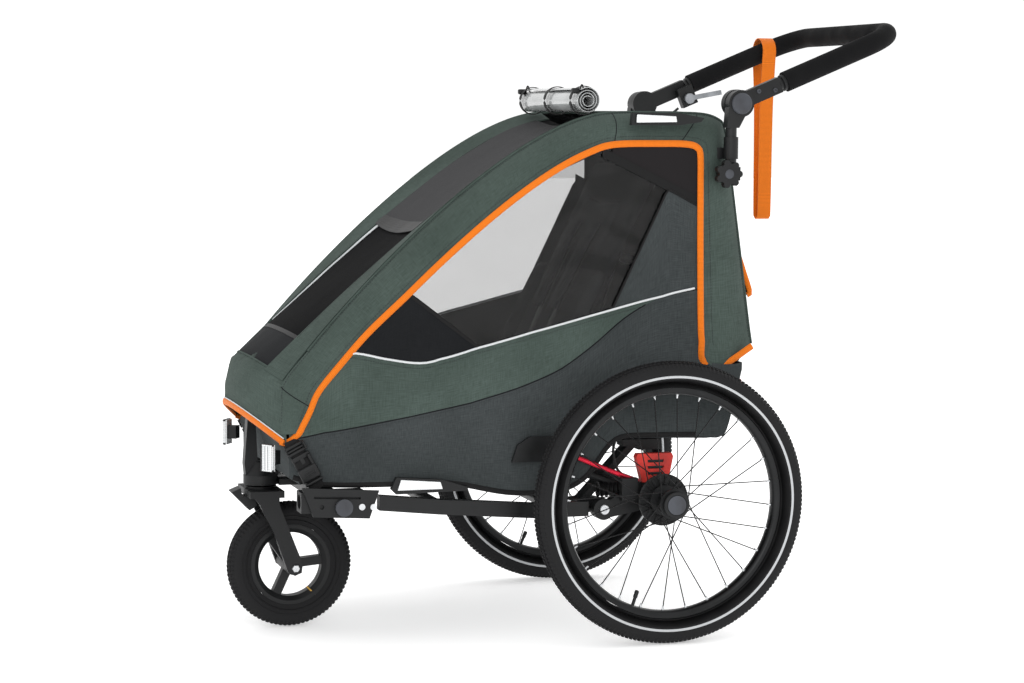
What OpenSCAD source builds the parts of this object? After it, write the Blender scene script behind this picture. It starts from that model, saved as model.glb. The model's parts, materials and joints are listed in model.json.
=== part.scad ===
// Child bicycle trailer with a jogging wheel, a push bar and a folding hoop frame.
// Lengths are in millimetres, +X points to the rear, +Z up, the left side is -Y.
// The origin is on the ground under the middle of the trailer.

/* [Overall] */
// Distance of the rear axle behind the middle of the trailer
axle_x = 119.8; // [114:0.1:126]
// Half of the width over the side fabric
body_half_w = 258; // [250:1:262]
// Half of the width of the body at the tip of the nose
nose_half_w = 200; // [190:1:210]

/* [Rear wheels] */
// Outer diameter of the rear tyres (20 x 1.75 inch)
tyre_d = 500; // [490:1:508]
// Section width of the rear tyres
tyre_w = 47; // [40:1:50]
// Distance between the two wheel planes
track = 655; // [645:1:665]
// Spokes in each rear wheel
spoke_count = 28; // [20:4:36]

/* [Front wheel] */
// Outer diameter of the front tyre
front_d = 229; // [220:1:232]
// Section width of the front tyre
front_w = 44; // [38:1:48]

/* [Push bar] */
// Length of the push bar from its tilt joint to its rear end
bar_reach = 362; // [340:1:380]
// Rise of the push bar above the horizontal, in degrees
bar_rise = 22.5; // [10:0.5:30]
// Diameter of the push bar tube
bar_d = 22; // [20:1:25]
// Outer diameter of the foam grip
grip_d = 37; // [30:1:40]

/* [Frame] */
// Outer diameter of the hoop and rear frame tubes
frame_d = 24; // [20:1:26]
// Height of the side rails
rail_h = 26; // [22:1:30]
// Bore of the drawbar sockets
socket_d = 25; // [22:0.5:26]

/* [Hidden] */

$fn = 48;
axle_z = tyre_d / 2;
wheel_y = track / 2;
front_x = -611;
front_z = front_d / 2;
swivel_x = -663;
rail_y = 240;
rail_top = 245;
pivot = [-655, 385];
seam_x = -60;
fabric_t = 3;
steel = "#2b2c2d";
black = "#1c1d1e";
melange = "#4e5b54";
slate = "#3c4446";
orange = "#ee7b1f";

// Half width of the side fabric at a distance x along the trailer
function half_w(x) = x > -450 ? body_half_w
    : body_half_w + (nose_half_w - body_half_w) * pow((x + 450) / -217, 1.3);
function mix(a, b, t) = a + (b - a) * t;
function bez(p, t) = pow(1 - t, 3) * p[0] + 3 * pow(1 - t, 2) * t * p[1]
    + 3 * (1 - t) * t * t * p[2] + t * t * t * p[3];
function unit(v) = v / norm(v);
function lift(p, y) = [p[0], y, p[1]];

// Side lines of the body: the piping on the side face and the crest above it
pipe_ctrl = [[-624, 446], [-480, 605], [-230, 850], [-86, 875]];
crest_ctrl = [[-664, 465], [-520, 650], [-240, 925], [-66, 931]];
curve_steps = 10;
ts = [for (i = [0 : curve_steps]) i / curve_steps];
pipe_front = concat([[-656, 378], [-642, 414]], [for (t = ts) bez(pipe_ctrl, t)]);
crest_front = concat([[-668, 376], [-668, 425]], [for (t = ts) bez(crest_ctrl, t)]);
pipe_rear = [[0, 877], [50, 876], [74, 862], [77, 804], [78, 700], [81, 553], [88, 500]];
crest_rear = [[20, 931], [97, 930], [141, 914], [153, 850], [172, 720], [195, 559], [203, 512]];
crest_y = 200;

// Closed solid between two grids of points, whichever way round they run
module skin(outer, inner) {
    n = len(outer);
    m = len(outer[0]);
    normal = cross(outer[1][0] - outer[0][0], outer[0][1] - outer[0][0]);
    out = normal * (inner[0][0] - outer[0][0]) < 0;
    top = function(i, j) i * m + j;
    low = function(i, j) n * m + i * m + j;
    quads = concat(
        [for (i = [0 : n - 2]) for (j = [0 : m - 2])
            [top(i, j), top(i, j + 1), top(i + 1, j + 1), top(i + 1, j)]],
        [for (i = [0 : n - 2]) for (j = [0 : m - 2])
            [low(i, j), low(i + 1, j), low(i + 1, j + 1), low(i, j + 1)]],
        [for (i = [0 : n - 2]) [top(i, 0), top(i + 1, 0), low(i + 1, 0), low(i, 0)]],
        [for (i = [0 : n - 2]) [top(i, m - 1), low(i, m - 1), low(i + 1, m - 1), top(i + 1, m - 1)]],
        [for (j = [0 : m - 2]) [top(0, j), low(0, j), low(0, j + 1), top(0, j + 1)]],
        [for (j = [0 : m - 2]) [top(n - 1, j), top(n - 1, j + 1), low(n - 1, j + 1), low(n - 1, j)]]);
    tris = [for (q = quads) each [[q[0], q[1], q[2]], [q[0], q[2], q[3]]]];
    polyhedron(points = concat([for (r = outer) each r], [for (r = inner) each r]),
        faces = out ? tris : [for (t = tris) [t[2], t[1], t[0]]]);
}

// Round tube swept along points, with its rings square to the path
module sweep(path, d, sides = 12, side = [0, 1, 0]) {
    n = len(path);
    ring = function(i) let(
        t = unit(path[min(i + 1, n - 1)] - path[max(i - 1, 0)]),
        u = unit(cross(t, side)),
        v = cross(t, u))
        [for (k = [0 : sides - 1]) path[i] + d / 2 * (cos(360 * k / sides) * u + sin(360 * k / sides) * v)];
    faces = concat(
        [[for (k = [0 : sides - 1]) k]],
        [[for (k = [sides - 1 : -1 : 0]) (n - 1) * sides + k]],
        [for (i = [0 : n - 2]) for (k = [0 : sides - 1]) each [
            [i * sides + k, (i + 1) * sides + (k + 1) % sides, i * sides + (k + 1) % sides],
            [i * sides + k, (i + 1) * sides + k, (i + 1) * sides + (k + 1) % sides]]]);
    polyhedron(points = [for (i = [0 : n - 1]) each ring(i)], faces = faces);
}

// Round rod between two points
module rod(p, q, d) {
    v = q - p;
    translate(p) rotate([0, acos(v[2] / norm(v)), atan2(v[1], v[0])]) cylinder(h = norm(v), d = d);
}

// Cylinder along Y between two planes
module pin(x, z, y0, y1, d) {
    translate([x, y1, z]) rotate([90, 0, 0]) cylinder(h = y1 - y0, d = d);
}

// Side view outline given a thickness across the trailer
module plate(y0, y1) {
    translate([0, y1, 0]) rotate([90, 0, 0]) linear_extrude(y1 - y0) children();
}

// The same shape on the left and on the right
module both() {
    children();
    mirror([0, 1, 0]) children();
}

module in_frame() {
    translate([axle_x, 0, 0]) children();
}

// ---- chassis ----

module side_rails() {
    color(steel) in_frame() both() plate(-rail_y - 10, -rail_y + 10)
        polygon([[-505, 244], [-400, 233], [-224, 219], [-124, 219], [-124, 245], [-224, 245],
            [-400, 259], [-505, 270]]);
}

module cross_tubes() {
    color(steel) in_frame() {
        pin(-395, 246, -rail_y + 10, rail_y - 10, 20);
        pin(-175, 232, -rail_y + 10, rail_y - 10, 20);
    }
}

module nose_frame() {
    color(steel) in_frame() {
        difference() {
            translate([-590, -213, 245]) cube([26, 426, 26]);
            pin(-577, 258, -230, 230, 18);
        }
        translate([-632, -17, 260]) cube([42, 34, 11]);
        both() plate(-158, -152) polygon([[-589, 252], [-566, 252], [-566, 271], [-640, 395],
            [-662, 395], [-668, 380]]);
        both() pin(pivot[0], pivot[1], -198, -158, 10);
    }
}

module head_housing() {
    color(black) in_frame() difference() {
        union() {
            translate([swivel_x, 0, 262]) cylinder(h = 17, d = 62);
            translate([swivel_x, 0, 279]) cylinder(h = 23, d1 = 60, d2 = 34);
            plate(-11, 11) polygon([[-691, 270], [-694, 300], [-688, 384], [-674, 384], [-670, 300], [-664, 270]]);
        }
        translate([swivel_x, 0, 255]) cylinder(h = 42, d = 24.1);
    }
}

floor_line = [[-620, 284], [-385, 284], [-265, 270], [-150, 272], [-105, 322], [-72, 352], [128, 346]];
module floor_pan() {
    color(slate) in_frame() difference() {
        plate(-205, 205)
            polygon(concat([for (p = floor_line) p + [0, 5]], [for (i = [len(floor_line) - 1 : -1 : 0]) floor_line[i]]));
        both() translate([-666, -160, 250]) cube([96, 10, 60]);
        both() translate([-30, -201, 320]) cube([70, 24, 50]);
    }
}

// Lower front of the body, fixed below the hem of the front cover
function skirt(s, z, t) = let(k = pow(abs(s), 2.4), w = nose_half_w - 3 - t, f = (352 - z) / 60)
    [mix(-672 + 30 * f, -662 + 28 * f, k) + t, w * s, z];
module nose_skirt() {
    ss = [for (i = [-8 : 8]) i / 8];
    zs = [292, 320, 345, 352];
    color(melange) in_frame() difference() {
        skin([for (s = ss) [for (z = zs) skirt(s, z, 0)]], [for (s = ss) [for (z = zs) skirt(s, z, 3)]]);
        translate([swivel_x, 0, 285]) cylinder(h = 20, d = 52);
        translate([-700, -14, 285]) cube([33, 28, 80]);
    }
}

bracket_line = [[-643, 289], [-507, 280], [-524, 232], [-623, 238]];
module coupling_brackets() {
    color(black) in_frame() both() difference() {
        union() {
            plate(-256, -251) polygon(bracket_line);
            translate([-643, -251, 244]) cube([112, 38, 36]);
        }
        translate([-650, -232, 262]) rotate([0, 90, 0]) cylinder(h = 68, d = socket_d);
        plate(-260, -250) polygon([[-622, 274], [-540, 270], [-540, 266], [-622, 270]]);
        pin(-608, 255, -260, -252, 8);
        pin(-570, 253, -260, -240, 10.2);
    }
}

module coupling_knob() {
    color("#55585b") in_frame() {
        pin(-570, 253, -263, -256.3, 30);
        pin(-570, 253, -257, -245, 10);
    }
}
module coupling_knob_left() coupling_knob();
module coupling_knob_right() mirror([0, 1, 0]) coupling_knob();

module bracket_bolts() {
    color("silver") in_frame() both() {
        pin(-538, 253, -259, -256, 11);
        pin(-518, 252, -259, -256, 11);
    }
}

module base_reflector_housings() {
    color(black) in_frame() both() {
        plate(-269, -258.4)
            polygon([[-489, 283], [-480, 303], [-400, 297], [-352, 282], [-352, 276], [-480, 274]]);
        translate([-684, -186, 322]) rotate([0, 0, 35]) translate([0, -9, 0]) cube([17, 18, 24]);
    }
}

module reflector_lenses() {
    color("white") in_frame() {
        both() plate(-271, -269) polygon([[-478, 281], [-472, 299], [-402, 293], [-398, 281]]);
        both() translate([-684, -186, 311]) rotate([0, 0, 35]) translate([-9, -12, 0]) cube([9, 24, 46]);
    }
}

module uprights() {
    color(black) in_frame() both() {
        translate([-18, -214, 329]) cube([42, 34, 19]);
        difference() {
            plate(-214, -180) union() {
                polygon([[-166, 241], [-166, 227], [-112, 220], [-88, 220], [-88, 244], [-112, 248]]);
                hinge_bar([-124, 240], [-32, 336], 12);
                translate([-48, 336]) square([30, 12]);
            }
            pin(-175, 232, -230, -170, 20);
        }
        pin(swing[0], swing[1], -262, -214, 16);
        plate(-199, -189) polygon([[-10, 348], [24, 348], [32, 398], [20, 412], [6, 402]]);
        pin(rear_pivot[0], rear_pivot[1], -211, -199, 10);
    }
}

module arch_guards() {
    color(black) in_frame() both() plate(-268, -262)
        polygon([[-272, 322], [-262, 352], [-240, 366], [-192, 366], [-205, 322]]);
}

module seat_base() {
    color("#202122") in_frame() plate(-190, 190)
        polygon([[-420, 300], [-412, 352], [-395, 362], [-215, 348], [-200, 335], [-200, 290], [-385, 292]]);
}

// ---- fabric between the chassis and the hoop ----

function on(line, x, i = 0) = i >= len(line) - 2 || x <= line[i + 1][0]
    ? mix(line[i][1], line[i + 1][1], (x - line[i][0]) / (line[i + 1][0] - line[i][0])) : on(line, x, i + 1);
pipe_line = concat(pipe_front, [pipe_rear[0], pipe_rear[1], [72, 870]]);
hem_line = [[-655, 300], [-600, 286], [-385, 286], [-265, 264], [-150, 268], [-100, 325], [-70, 355], [126, 343]];
belt_line = [[-655, 372], [-624, 440], [-548, 511], [-434, 492], [-333, 517], [-235, 542], [-115, 572], [6, 601],
    [72, 616]];

module side_panels() {
    xs = [-655, -640, -624, -590, -548, -490, -434, -385, -333, -265, -235, -190, -150, -115, -100, -70, 6, 72];
    rows = [0, 0.25, 0.5, 0.75, 1];
    color(slate) in_frame() both() skin(
        [for (x = xs) [for (t = rows) [x, -half_w(x), mix(on(hem_line, x), on(belt_line, x), t)]]],
        [for (x = xs) [for (t = rows) [x, -half_w(x) + fabric_t, mix(on(hem_line, x), on(belt_line, x), t)]]]);
    color(slate) in_frame() both() plate(-258, -255)
        polygon([[73, 357], [112, 351], [130, 354], [144, 392], [166, 477], [110, 478], [85, 492], [73, 500]]);
}

// Clearance of the window film under the piping and over the belt seam
window_gap = 9;
belt_gap = 2;
module side_windows() {
    xs = [-540, -490, -434, -385, -333, -265, -235, -190, -115, -60, 6, 70];
    rows = [0, 0.5, 1];
    color([0.2, 0.2, 0.22, 0.5]) in_frame() both() skin(
        [for (x = xs) [for (t = rows) [x, -half_w(x) + 1, mix(on(belt_line, x) + belt_gap, on(pipe_line, x) - window_gap, t)]]],
        [for (x = xs) [for (t = rows) [x, -half_w(x) + 2.5, mix(on(belt_line, x) + belt_gap, on(pipe_line, x) - window_gap, t)]]]);
}

module seat_back() {
    color("#1d1e20") in_frame() plate(-186, 186)
        polygon([[-204, 366], [-222, 378], [15, 848], [28, 856], [42, 852], [36, 842]]);
}

rear_line = [[136, 905], [148, 850], [167, 720], [190, 559], [198, 512], [176, 477], [156, 392], [148, 352]];
module rear_bag() {
    color(melange) in_frame() {
        plate(-196, 196)
            polygon(concat(rear_line, [for (i = [len(rear_line) - 1 : -1 : 0]) rear_line[i] - [3, 0]]));
        both() plate(-250, -247) polygon([[-60, 358], [112, 354], [128, 360], [140, 392], [157, 470], [-60, 470]]);
    }
}

// ---- hoop ----

hoop_front = [for (i = [0 : len(pipe_front) - 1]) let(
    p = mix(pipe_front[i], crest_front[i], 0.5),
    a = mix(pipe_front[max(i - 1, 0)], crest_front[max(i - 1, 0)], 0.5),
    b = mix(pipe_front[min(i + 1, len(pipe_front) - 1)], crest_front[min(i + 1, len(pipe_front) - 1)], 0.5),
    t = unit(b - a)) p + 26 * [t[1], -t[0]]];
hoop_line = concat([[-650, 398]], [for (i = [2 : len(hoop_front) - 1]) hoop_front[i]],
    [[40, 880], [76, 878], [94, 870], [101, 854], [102, 830], [99, 740], [97, 668]]);
function hoop_y(x) = half_w(x) - 31;

module hoop_tubes() {
    color(steel) in_frame() {
        both() sweep([for (p = hoop_line) [p[0], -hoop_y(p[0]), p[1]]], frame_d, 12);
        pin(-80, 868, -226, 226, 18);
        pin(101, 850, -226, 226, 18);
    }
}

module hoop_eyes() {
    color(black) in_frame() both() difference() {
        union() {
            pin(pivot[0], pivot[1], -198, -188, 20);
            plate(-198, -188) polygon([[-665, 386], [-647, 381], [-636, 400], [-650, 410]]);
        }
        pin(pivot[0], pivot[1], -204, -179, 10.1);
    }
}

band_in = concat(pipe_front, pipe_rear);
band_out = concat(crest_front, crest_rear);
band_rows = [0, 0.16, 0.38, 0.62, 0.84, 1];
function band_point(i, s, inset) = let(
    a = lift(band_in[i], -half_w(band_in[i][0])),
    b = lift(band_out[i], -crest_y),
    across = unit(band_out[i] - band_in[i]),
    bulge = 4 * s * (1 - s) * 15 * min(1, norm(band_out[i] - band_in[i]) / 60))
    mix(a, b, s) + (bulge - inset) * [across[0] * 0.5, -0.85, across[1] * 0.5];
module edge_bands() {
    n = len(band_in);
    color(melange) in_frame() both() skin(
        [for (i = [0 : n - 1]) [for (s = band_rows) band_point(i, s, 0)]],
        [for (i = [0 : n - 1]) [for (s = band_rows) band_point(i, s, fabric_t + 1)]]);
}

module roof_panel() {
    color(melange) in_frame() plate(-196, 196)
        polygon([[seam_x + 3, 931], [20, 934], [97, 931], [128, 925], [137, 912], [133, 909], [125, 920],
            [97, 927], [20, 929], [seam_x + 3, 927]]);
}

module roof_reflectors() {
    color(black) in_frame() both() plate(-271, -259)
        polygon([[-58, 909], [-56, 931], [28, 931], [78, 922], [72, 915], [30, 909]]);
    color("white") in_frame() both() plate(-273, -271)
        polygon([[-50, 913], [-50, 928], [24, 925], [26, 914]]);
}

module post_clamps() {
    color(black) in_frame() both() difference() {
        union() {
            translate([110, -270, 812]) cube([38, 29, 24]);
            translate([134.5, -256.5, 850]) cylinder(h = 39, d = 26);
            for (z = [812, 850]) translate([98, -246, z]) cube([36, 7, 20]);
        }
        translate([134.5, -256.5, 800]) cylinder(h = 100, d = 20.2);
    }
}

flap_line = [[162, 830], [176, 787], [191, 698], [206, 650], [221, 606], [214, 597]];
module rear_flap() {
    color(orange) in_frame() plate(-150, 150)
        polygon(concat(flap_line, [for (i = [len(flap_line) - 1 : -1 : 0]) flap_line[i] - [4, 2]]));
}

// ---- front cover ----

function crown(t) = -24 + 66 * pow(max(0, 1 - t / 0.6), 1.6);
function cover_side(t) = t < 0 ? [-668, mix(465, 364, -t)] : bez(crest_ctrl, t);
function cover_mid(t) = t < 0 ? [mix(-702, -719, pow(min(1, -t * 1.6), 0.7)), mix(489, 408, -t)]
    : let(p = bez(crest_ctrl, t), q = unit(bez(crest_ctrl, t + 0.01) - bez(crest_ctrl, t - 0.01)))
        p + crown(t) * [-q[1], q[0]];
function cover_point(t, s, out) = let(
    e = pow(abs(s), 2.3),
    p = mix(cover_mid(t), cover_side(t), e),
    q = unit(cover_mid(t + 0.02) - cover_mid(t - 0.02)))
    [p[0] - q[1] * out, (crest_y - 5.5) * s, p[1] + q[0] * out];
cover_s = [for (i = [-6 : 6]) i / 6];
module cover_part(t0, t1, steps, top, thick) {
    rows = [for (i = [0 : steps]) mix(t0, t1, i / steps)];
    in_frame() skin(
        [for (t = rows) [for (s = cover_s) cover_point(t, s, top)]],
        [for (t = rows) [for (s = cover_s) cover_point(t, s, top - thick)]]);
}
module front_cover() color(melange) cover_part(-1, 0.075, 8, 0, 3);
module window_panel() color(black) cover_part(0.077, 0.975, 14, 0, 2);
module sun_cover() color("#565656") cover_part(0.46, 0.93, 8, 3, 2.5);

module rain_roll() {
    color("#9a9a9a") in_frame() {
        pin(-106, 952, -176, 176, 50);
        for (y = [-150, 150]) pin(-106, 952, y - 9, y + 9, 53);
    }
}

// ---- rear frame ----

rear_pivot = [20, 400];
rear_top = [98, 648];

// Flat bar with round ends between two points
module hinge_bar(p, q, w) {
    side = w / 2 * [-(q - p)[1], (q - p)[0]] / norm(q - p);
    polygon([p + side, q + side, q - side, p - side]);
    translate(p) circle(d = w);
    translate(q) circle(d = w);
}

module rear_frame() {
    color(steel) in_frame() {
        both() plate(-212, -201) difference() {
            hinge_bar(rear_pivot, rear_top, 20);
            translate(rear_pivot) circle(d = 10.1);
        }
        pin(rear_top[0], rear_top[1], -201, 201, 18);
    }
}

// ---- push bar ----

tilt = [150, 948];
post_y = 256.5;
module handle_posts() {
    color(black) in_frame() both() difference() {
        union() {
            translate([134.5, -post_y, 806]) cylinder(h = 110, d = 20);
            plate(-post_y - 10, -post_y + 10) polygon([[123, 905], [146, 905], [163, 936], [160, 958],
                [150, 962], [138, 958], [126, 940]]);
            pin(tilt[0], tilt[1], -post_y - 10, -post_y + 10, 48);
        }
        pin(tilt[0], tilt[1], -post_y - 14, -post_y - 6, 38.6);
    }
}

module joint_housings() {
    color(black) in_frame() both() {
        difference() {
            union() {
                pin(tilt[0], tilt[1], -post_y + 10.4, -post_y + 26, 50);
                translate([tilt[0], 0, tilt[1]]) rotate([0, -bar_rise, 0])
                    translate([10, -post_y + 10.4, -14]) cube([80, 15.6, 28]);
            }
            pin(tilt[0], tilt[1], -post_y - 14, -post_y + 14, 12.2);
        }
    }
}

bar_y = 236;
corner_r = 70;
module in_bar() {
    in_frame() translate([tilt[0], 0, tilt[1]]) rotate([0, -bar_rise, 0]) children();
}
module bar_loop(d, start) {
    end = bar_reach - grip_d / 2;
    both() translate([start, -bar_y, 0]) rotate([0, 90, 0]) cylinder(h = end - corner_r - start, d = d);
    both() translate([end - corner_r, -bar_y + corner_r, 0]) rotate([0, 0, -90])
        rotate_extrude(angle = 90) translate([corner_r, 0]) circle(d = d);
    translate([end, bar_y - corner_r, 0]) rotate([90, 0, 0]) cylinder(h = 2 * (bar_y - corner_r), d = d);
}
module handle_bar() color(black) in_bar() bar_loop(bar_d, 90);
module foam_grip() color("#151515") in_bar() difference() {
    bar_loop(grip_d, 102);
    bar_loop(bar_d + 0.02, 96);
}

module brake_mount() {
    color(black) in_bar() difference() {
        translate([66, 213, -36]) cube([32, 16, 38]);
        translate([60, bar_y, 0]) rotate([0, 90, 0]) cylinder(h = 60, d = bar_d + 0.1);
        translate([82, 240, -22]) rotate([90, 0, 0]) cylinder(h = 40, d = 8.1);
    }
}

module brake_lever() {
    color("#8d9092") in_bar() {
        translate([82, 212.6, -22]) rotate([90, 0, 0]) cylinder(h = 8, d = 20);
        translate([82, 236, -22]) rotate([90, 0, 0]) cylinder(h = 22, d = 8);
        translate([84, 205.1, -26.5]) rotate([0, 12, 0]) cube([64, 7, 9]);
    }
}

module brake_cable() {
    color(black) in_frame() sweep([[216, 222, 940], [206, 222, 932], [192, 222, 922], [178, 222, 925],
        [166, 222, 934]], 5, 8);
}

strap_top = [402, 1052];
strap_foot = 728;
module strap_outline(inset) {
    r = 29 - inset;
    foot = 9 - inset;
    drop = strap_foot - strap_top[1];
    translate([bar_y, strap_top[1]]) {
        circle(r = r);
        polygon([[-r, 0], [-foot, drop], [foot, drop], [r, 0]]);
        translate([0, drop]) circle(r = foot);
    }
}
module wrist_strap() {
    color(orange) in_frame() translate([strap_top[0] - 14, 0, 0]) rotate([90, 0, 90]) difference() {
        linear_extrude(28) strap_outline(0);
        translate([0, 0, -1]) linear_extrude(30) strap_outline(2);
    }
}

module tilt_button() {
    color("#4a4d50") in_frame() pin(tilt[0], tilt[1], -post_y - 13, -post_y - 9.5, 38);
}
module tilt_button_left() tilt_button();
module tilt_button_right() mirror([0, 1, 0]) tilt_button();

module star_knob() {
    color(black) in_frame() translate([120, -288.6, 824]) rotate([-90, 0, 0]) {
        cylinder(h = 14, d = 38);
        for (k = [0 : 6]) rotate([0, 0, k * 360 / 7]) translate([19, 0, 0]) cylinder(h = 14, d = 12);
        cylinder(h = 16, d = 10);
    }
}
module star_knob_left() star_knob();
module star_knob_right() mirror([0, 1, 0]) star_knob();

// ---- rear axle ----

swing = [-100, 232];
module rear_axle() {
    color(black) in_frame() {
        both() {
            difference() {
                union() {
                    plate(-258, -240) polygon([[-112, 220], [-88, 216], [20, 236], [24, 262], [6, 276],
                        [-30, 276], [-60, 262], [-88, 247], [-112, 245]]);
                    pin(swing[0], swing[1], -264, -239, 38);
                }
                pin(swing[0], swing[1], -270, -230, 16.1);
            }
            pin(0, axle_z, -292, -250, 30);
            pin(0, axle_z, -350, -260, 12);
        }
        pin(-22, 256, -245, 245, 24);
    }
}

module spring_blocks() {
    color("#c8382f") in_frame() both() difference() {
        plate(-260, -244) polygon([[-27, 277], [22, 277], [31, 322], [28, 328], [-36, 328], [-39, 322]]);
        for (z = [290, 301, 312]) plate(-261, -256) polygon([[-16, z], [12, z], [14, z + 5], [-18, z + 5]]);
    }
}

module brake_calipers() {
    color(black) in_frame() both() translate([-72, -280, 248]) cube([30, 14, 40]);
}

// ---- wheels ----

module on_wheel(side) {
    in_frame() translate([0, side * wheel_y, axle_z]) rotate([-90 * side, 0, 0]) children();
}
module tyre(side) {
    color("#232323") on_wheel(side) rotate_extrude() difference() {
        translate([tyre_d / 2 - tyre_w / 2, 0]) circle(d = tyre_w);
        translate([0, -50]) square([204, 100]);
    }
}
module rim(side) {
    color(black) on_wheel(side) rotate_extrude()
        polygon([[204, -13], [204, 13], [197, 13], [191, 8], [191, -8], [197, -13]]);
}
// Turn of the first spoke from the horizontal, in degrees
spoke_phase = 3.4;
module spokes(side) {
    color("#111111") on_wheel(side) for (k = [0 : spoke_count - 1]) {
        flange = k % 2 == 0 ? 24 : -24;
        turn = floor(k / 2) % 2 == 0 ? 62 : -62;
        a = 360 * k / spoke_count - spoke_phase;
        rod([25 * cos(a + turn), 25 * sin(a + turn), flange], [191.5 * cos(a), 191.5 * sin(a), 0], 2);
    }
}
module hub(side) {
    color(black) on_wheel(side) difference() {
        union() {
            translate([0, 0, -32]) cylinder(h = 64, d = 32);
            for (z = [-26, 22]) translate([0, 0, z]) cylinder(h = 4, d = 54);
            translate([0, 0, -34]) cylinder(h = 2, d = 92);
            translate([0, 0, 26]) cylinder(h = 8, d = 46);
        }
        translate([0, 0, -60]) cylinder(h = 89, d = 12.1);
        translate([0, 0, 31]) cylinder(h = 9, d = 34.6);
    }
}
module hub_button(side) {
    color("#4a4d50") on_wheel(side) translate([0, 0, 33.2]) cylinder(h = 3.3, d = 34);
}
module tyre_left() tyre(-1);
module rim_left() rim(-1);
module spokes_left() spokes(-1);
module hub_left() hub(-1);
module hub_button_left() hub_button(-1);
module hub_button_right() hub_button(1);
module tyre_right() tyre(1);
module rim_right() rim(1);
module spokes_right() spokes(1);
module hub_right() hub(1);

// ---- front wheel ----

module fork() {
    color(black) in_frame() {
        translate([swivel_x, 0, 256]) cylinder(h = 38, d = 24);
        translate([swivel_x, 0, 245]) cylinder(h = 14, d = 56);
        translate([swivel_x - 30, -58, 243]) cube([62, 116, 12]);
        both() plate(-58, -46) polygon([[-693, 255], [-640, 255], [-640, 230], [-598, 122], [-600, 106],
            [-612, 101], [-624, 106], [-650, 180], [-676, 232]]);
        pin(front_x, front_z, -50, 50, 10);
    }
}

module swivel_lock() {
    color(black) in_frame() plate(-16, 16)
        polygon([[-719, 250], [-702, 257], [-699, 241.5], [-676, 241.5], [-673, 224], [-686, 216]]);
}

module front_tyre() {
    color("#232323") in_frame() translate([front_x, 0, front_z]) rotate([90, 0, 0]) rotate_extrude()
        difference() {
            translate([front_d / 2 - front_w / 2, 0]) circle(d = front_w);
            translate([0, -40]) square([73, 80]);
        }
}

module front_rim() {
    color(black) in_frame() translate([front_x, 0, front_z]) rotate([90, 0, 0]) difference() {
        union() {
            rotate_extrude() polygon([[73, -16], [73, 16], [66, 16], [58, 10], [58, -10], [66, -16]]);
            for (a = [5, 125, 245]) rotate([0, 0, a]) translate([12, -8, -9]) cube([48, 16, 18]);
            translate([0, 0, -40]) cylinder(h = 80, d = 30);
        }
        translate([0, 0, -50]) cylinder(h = 100, d = 10.1);
    }
}

side_rails();
cross_tubes();
uprights();
nose_frame();
head_housing();
floor_pan();
nose_skirt();
coupling_brackets();
coupling_knob_left();
coupling_knob_right();
bracket_bolts();
base_reflector_housings();
reflector_lenses();
arch_guards();
seat_base();
side_panels();
side_windows();
seat_back();
rear_bag();
hoop_tubes();
hoop_eyes();
edge_bands();
roof_panel();
roof_reflectors();
post_clamps();
rear_flap();
front_cover();
window_panel();
sun_cover();
rain_roll();
rear_frame();
handle_posts();
joint_housings();
handle_bar();
foam_grip();
brake_mount();
brake_lever();
brake_cable();
wrist_strap();
tilt_button_left();
tilt_button_right();
star_knob_left();
star_knob_right();
rear_axle();
spring_blocks();
brake_calipers();
tyre_left();
rim_left();
spokes_left();
hub_left();
hub_button_left();
tyre_right();
rim_right();
spokes_right();
hub_right();
hub_button_right();
fork();
swivel_lock();
front_tyre();
front_rim();
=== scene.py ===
"""Child bicycle trailer: cloth, wheels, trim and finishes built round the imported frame."""

import json
import logging
import math
from dataclasses import dataclass, field
from enum import Enum
from typing import Callable, Iterable, Sequence

import bpy
from mathutils import Matrix, Vector, noise

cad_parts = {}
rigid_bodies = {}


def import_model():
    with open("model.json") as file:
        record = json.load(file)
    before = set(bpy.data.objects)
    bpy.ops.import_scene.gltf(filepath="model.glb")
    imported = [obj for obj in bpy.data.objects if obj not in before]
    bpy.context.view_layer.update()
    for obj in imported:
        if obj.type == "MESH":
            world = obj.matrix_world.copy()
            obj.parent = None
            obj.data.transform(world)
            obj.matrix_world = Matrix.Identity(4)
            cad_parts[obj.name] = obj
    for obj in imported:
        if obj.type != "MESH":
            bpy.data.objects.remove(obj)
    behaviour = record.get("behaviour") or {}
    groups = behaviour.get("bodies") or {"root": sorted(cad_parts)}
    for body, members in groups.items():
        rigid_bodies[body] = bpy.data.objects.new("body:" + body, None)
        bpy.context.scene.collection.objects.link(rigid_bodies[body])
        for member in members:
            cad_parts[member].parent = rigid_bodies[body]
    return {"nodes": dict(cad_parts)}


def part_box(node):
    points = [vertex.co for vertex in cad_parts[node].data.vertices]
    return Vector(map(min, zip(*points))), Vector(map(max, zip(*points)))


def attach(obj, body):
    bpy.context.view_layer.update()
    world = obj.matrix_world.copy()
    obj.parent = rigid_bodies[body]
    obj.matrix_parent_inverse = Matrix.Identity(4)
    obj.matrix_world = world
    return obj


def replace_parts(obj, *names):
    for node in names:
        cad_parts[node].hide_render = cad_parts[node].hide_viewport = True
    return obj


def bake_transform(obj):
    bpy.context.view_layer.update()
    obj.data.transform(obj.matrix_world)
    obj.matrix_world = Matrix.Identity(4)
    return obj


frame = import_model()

log = logging.getLogger("trailer")
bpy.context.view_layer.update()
MM = 0.001
TAU = 2 * math.pi
WHITE = (1.0, 1.0, 1.0, 1.0)


# ---------------------------------------------------------------- datum and side lines


def box_centre(node: str) -> Vector:
    """Middle of a CAD node's box, in metres.

    Args:
        node: Name of the CAD node.

    Returns:
        The centre point in the row frame.
    """
    low, high = (Vector(corner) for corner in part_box(node))
    return (low + high) / 2


AXLE = Vector((box_centre("tyre_left").x, 0.0, 0.0))


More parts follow.
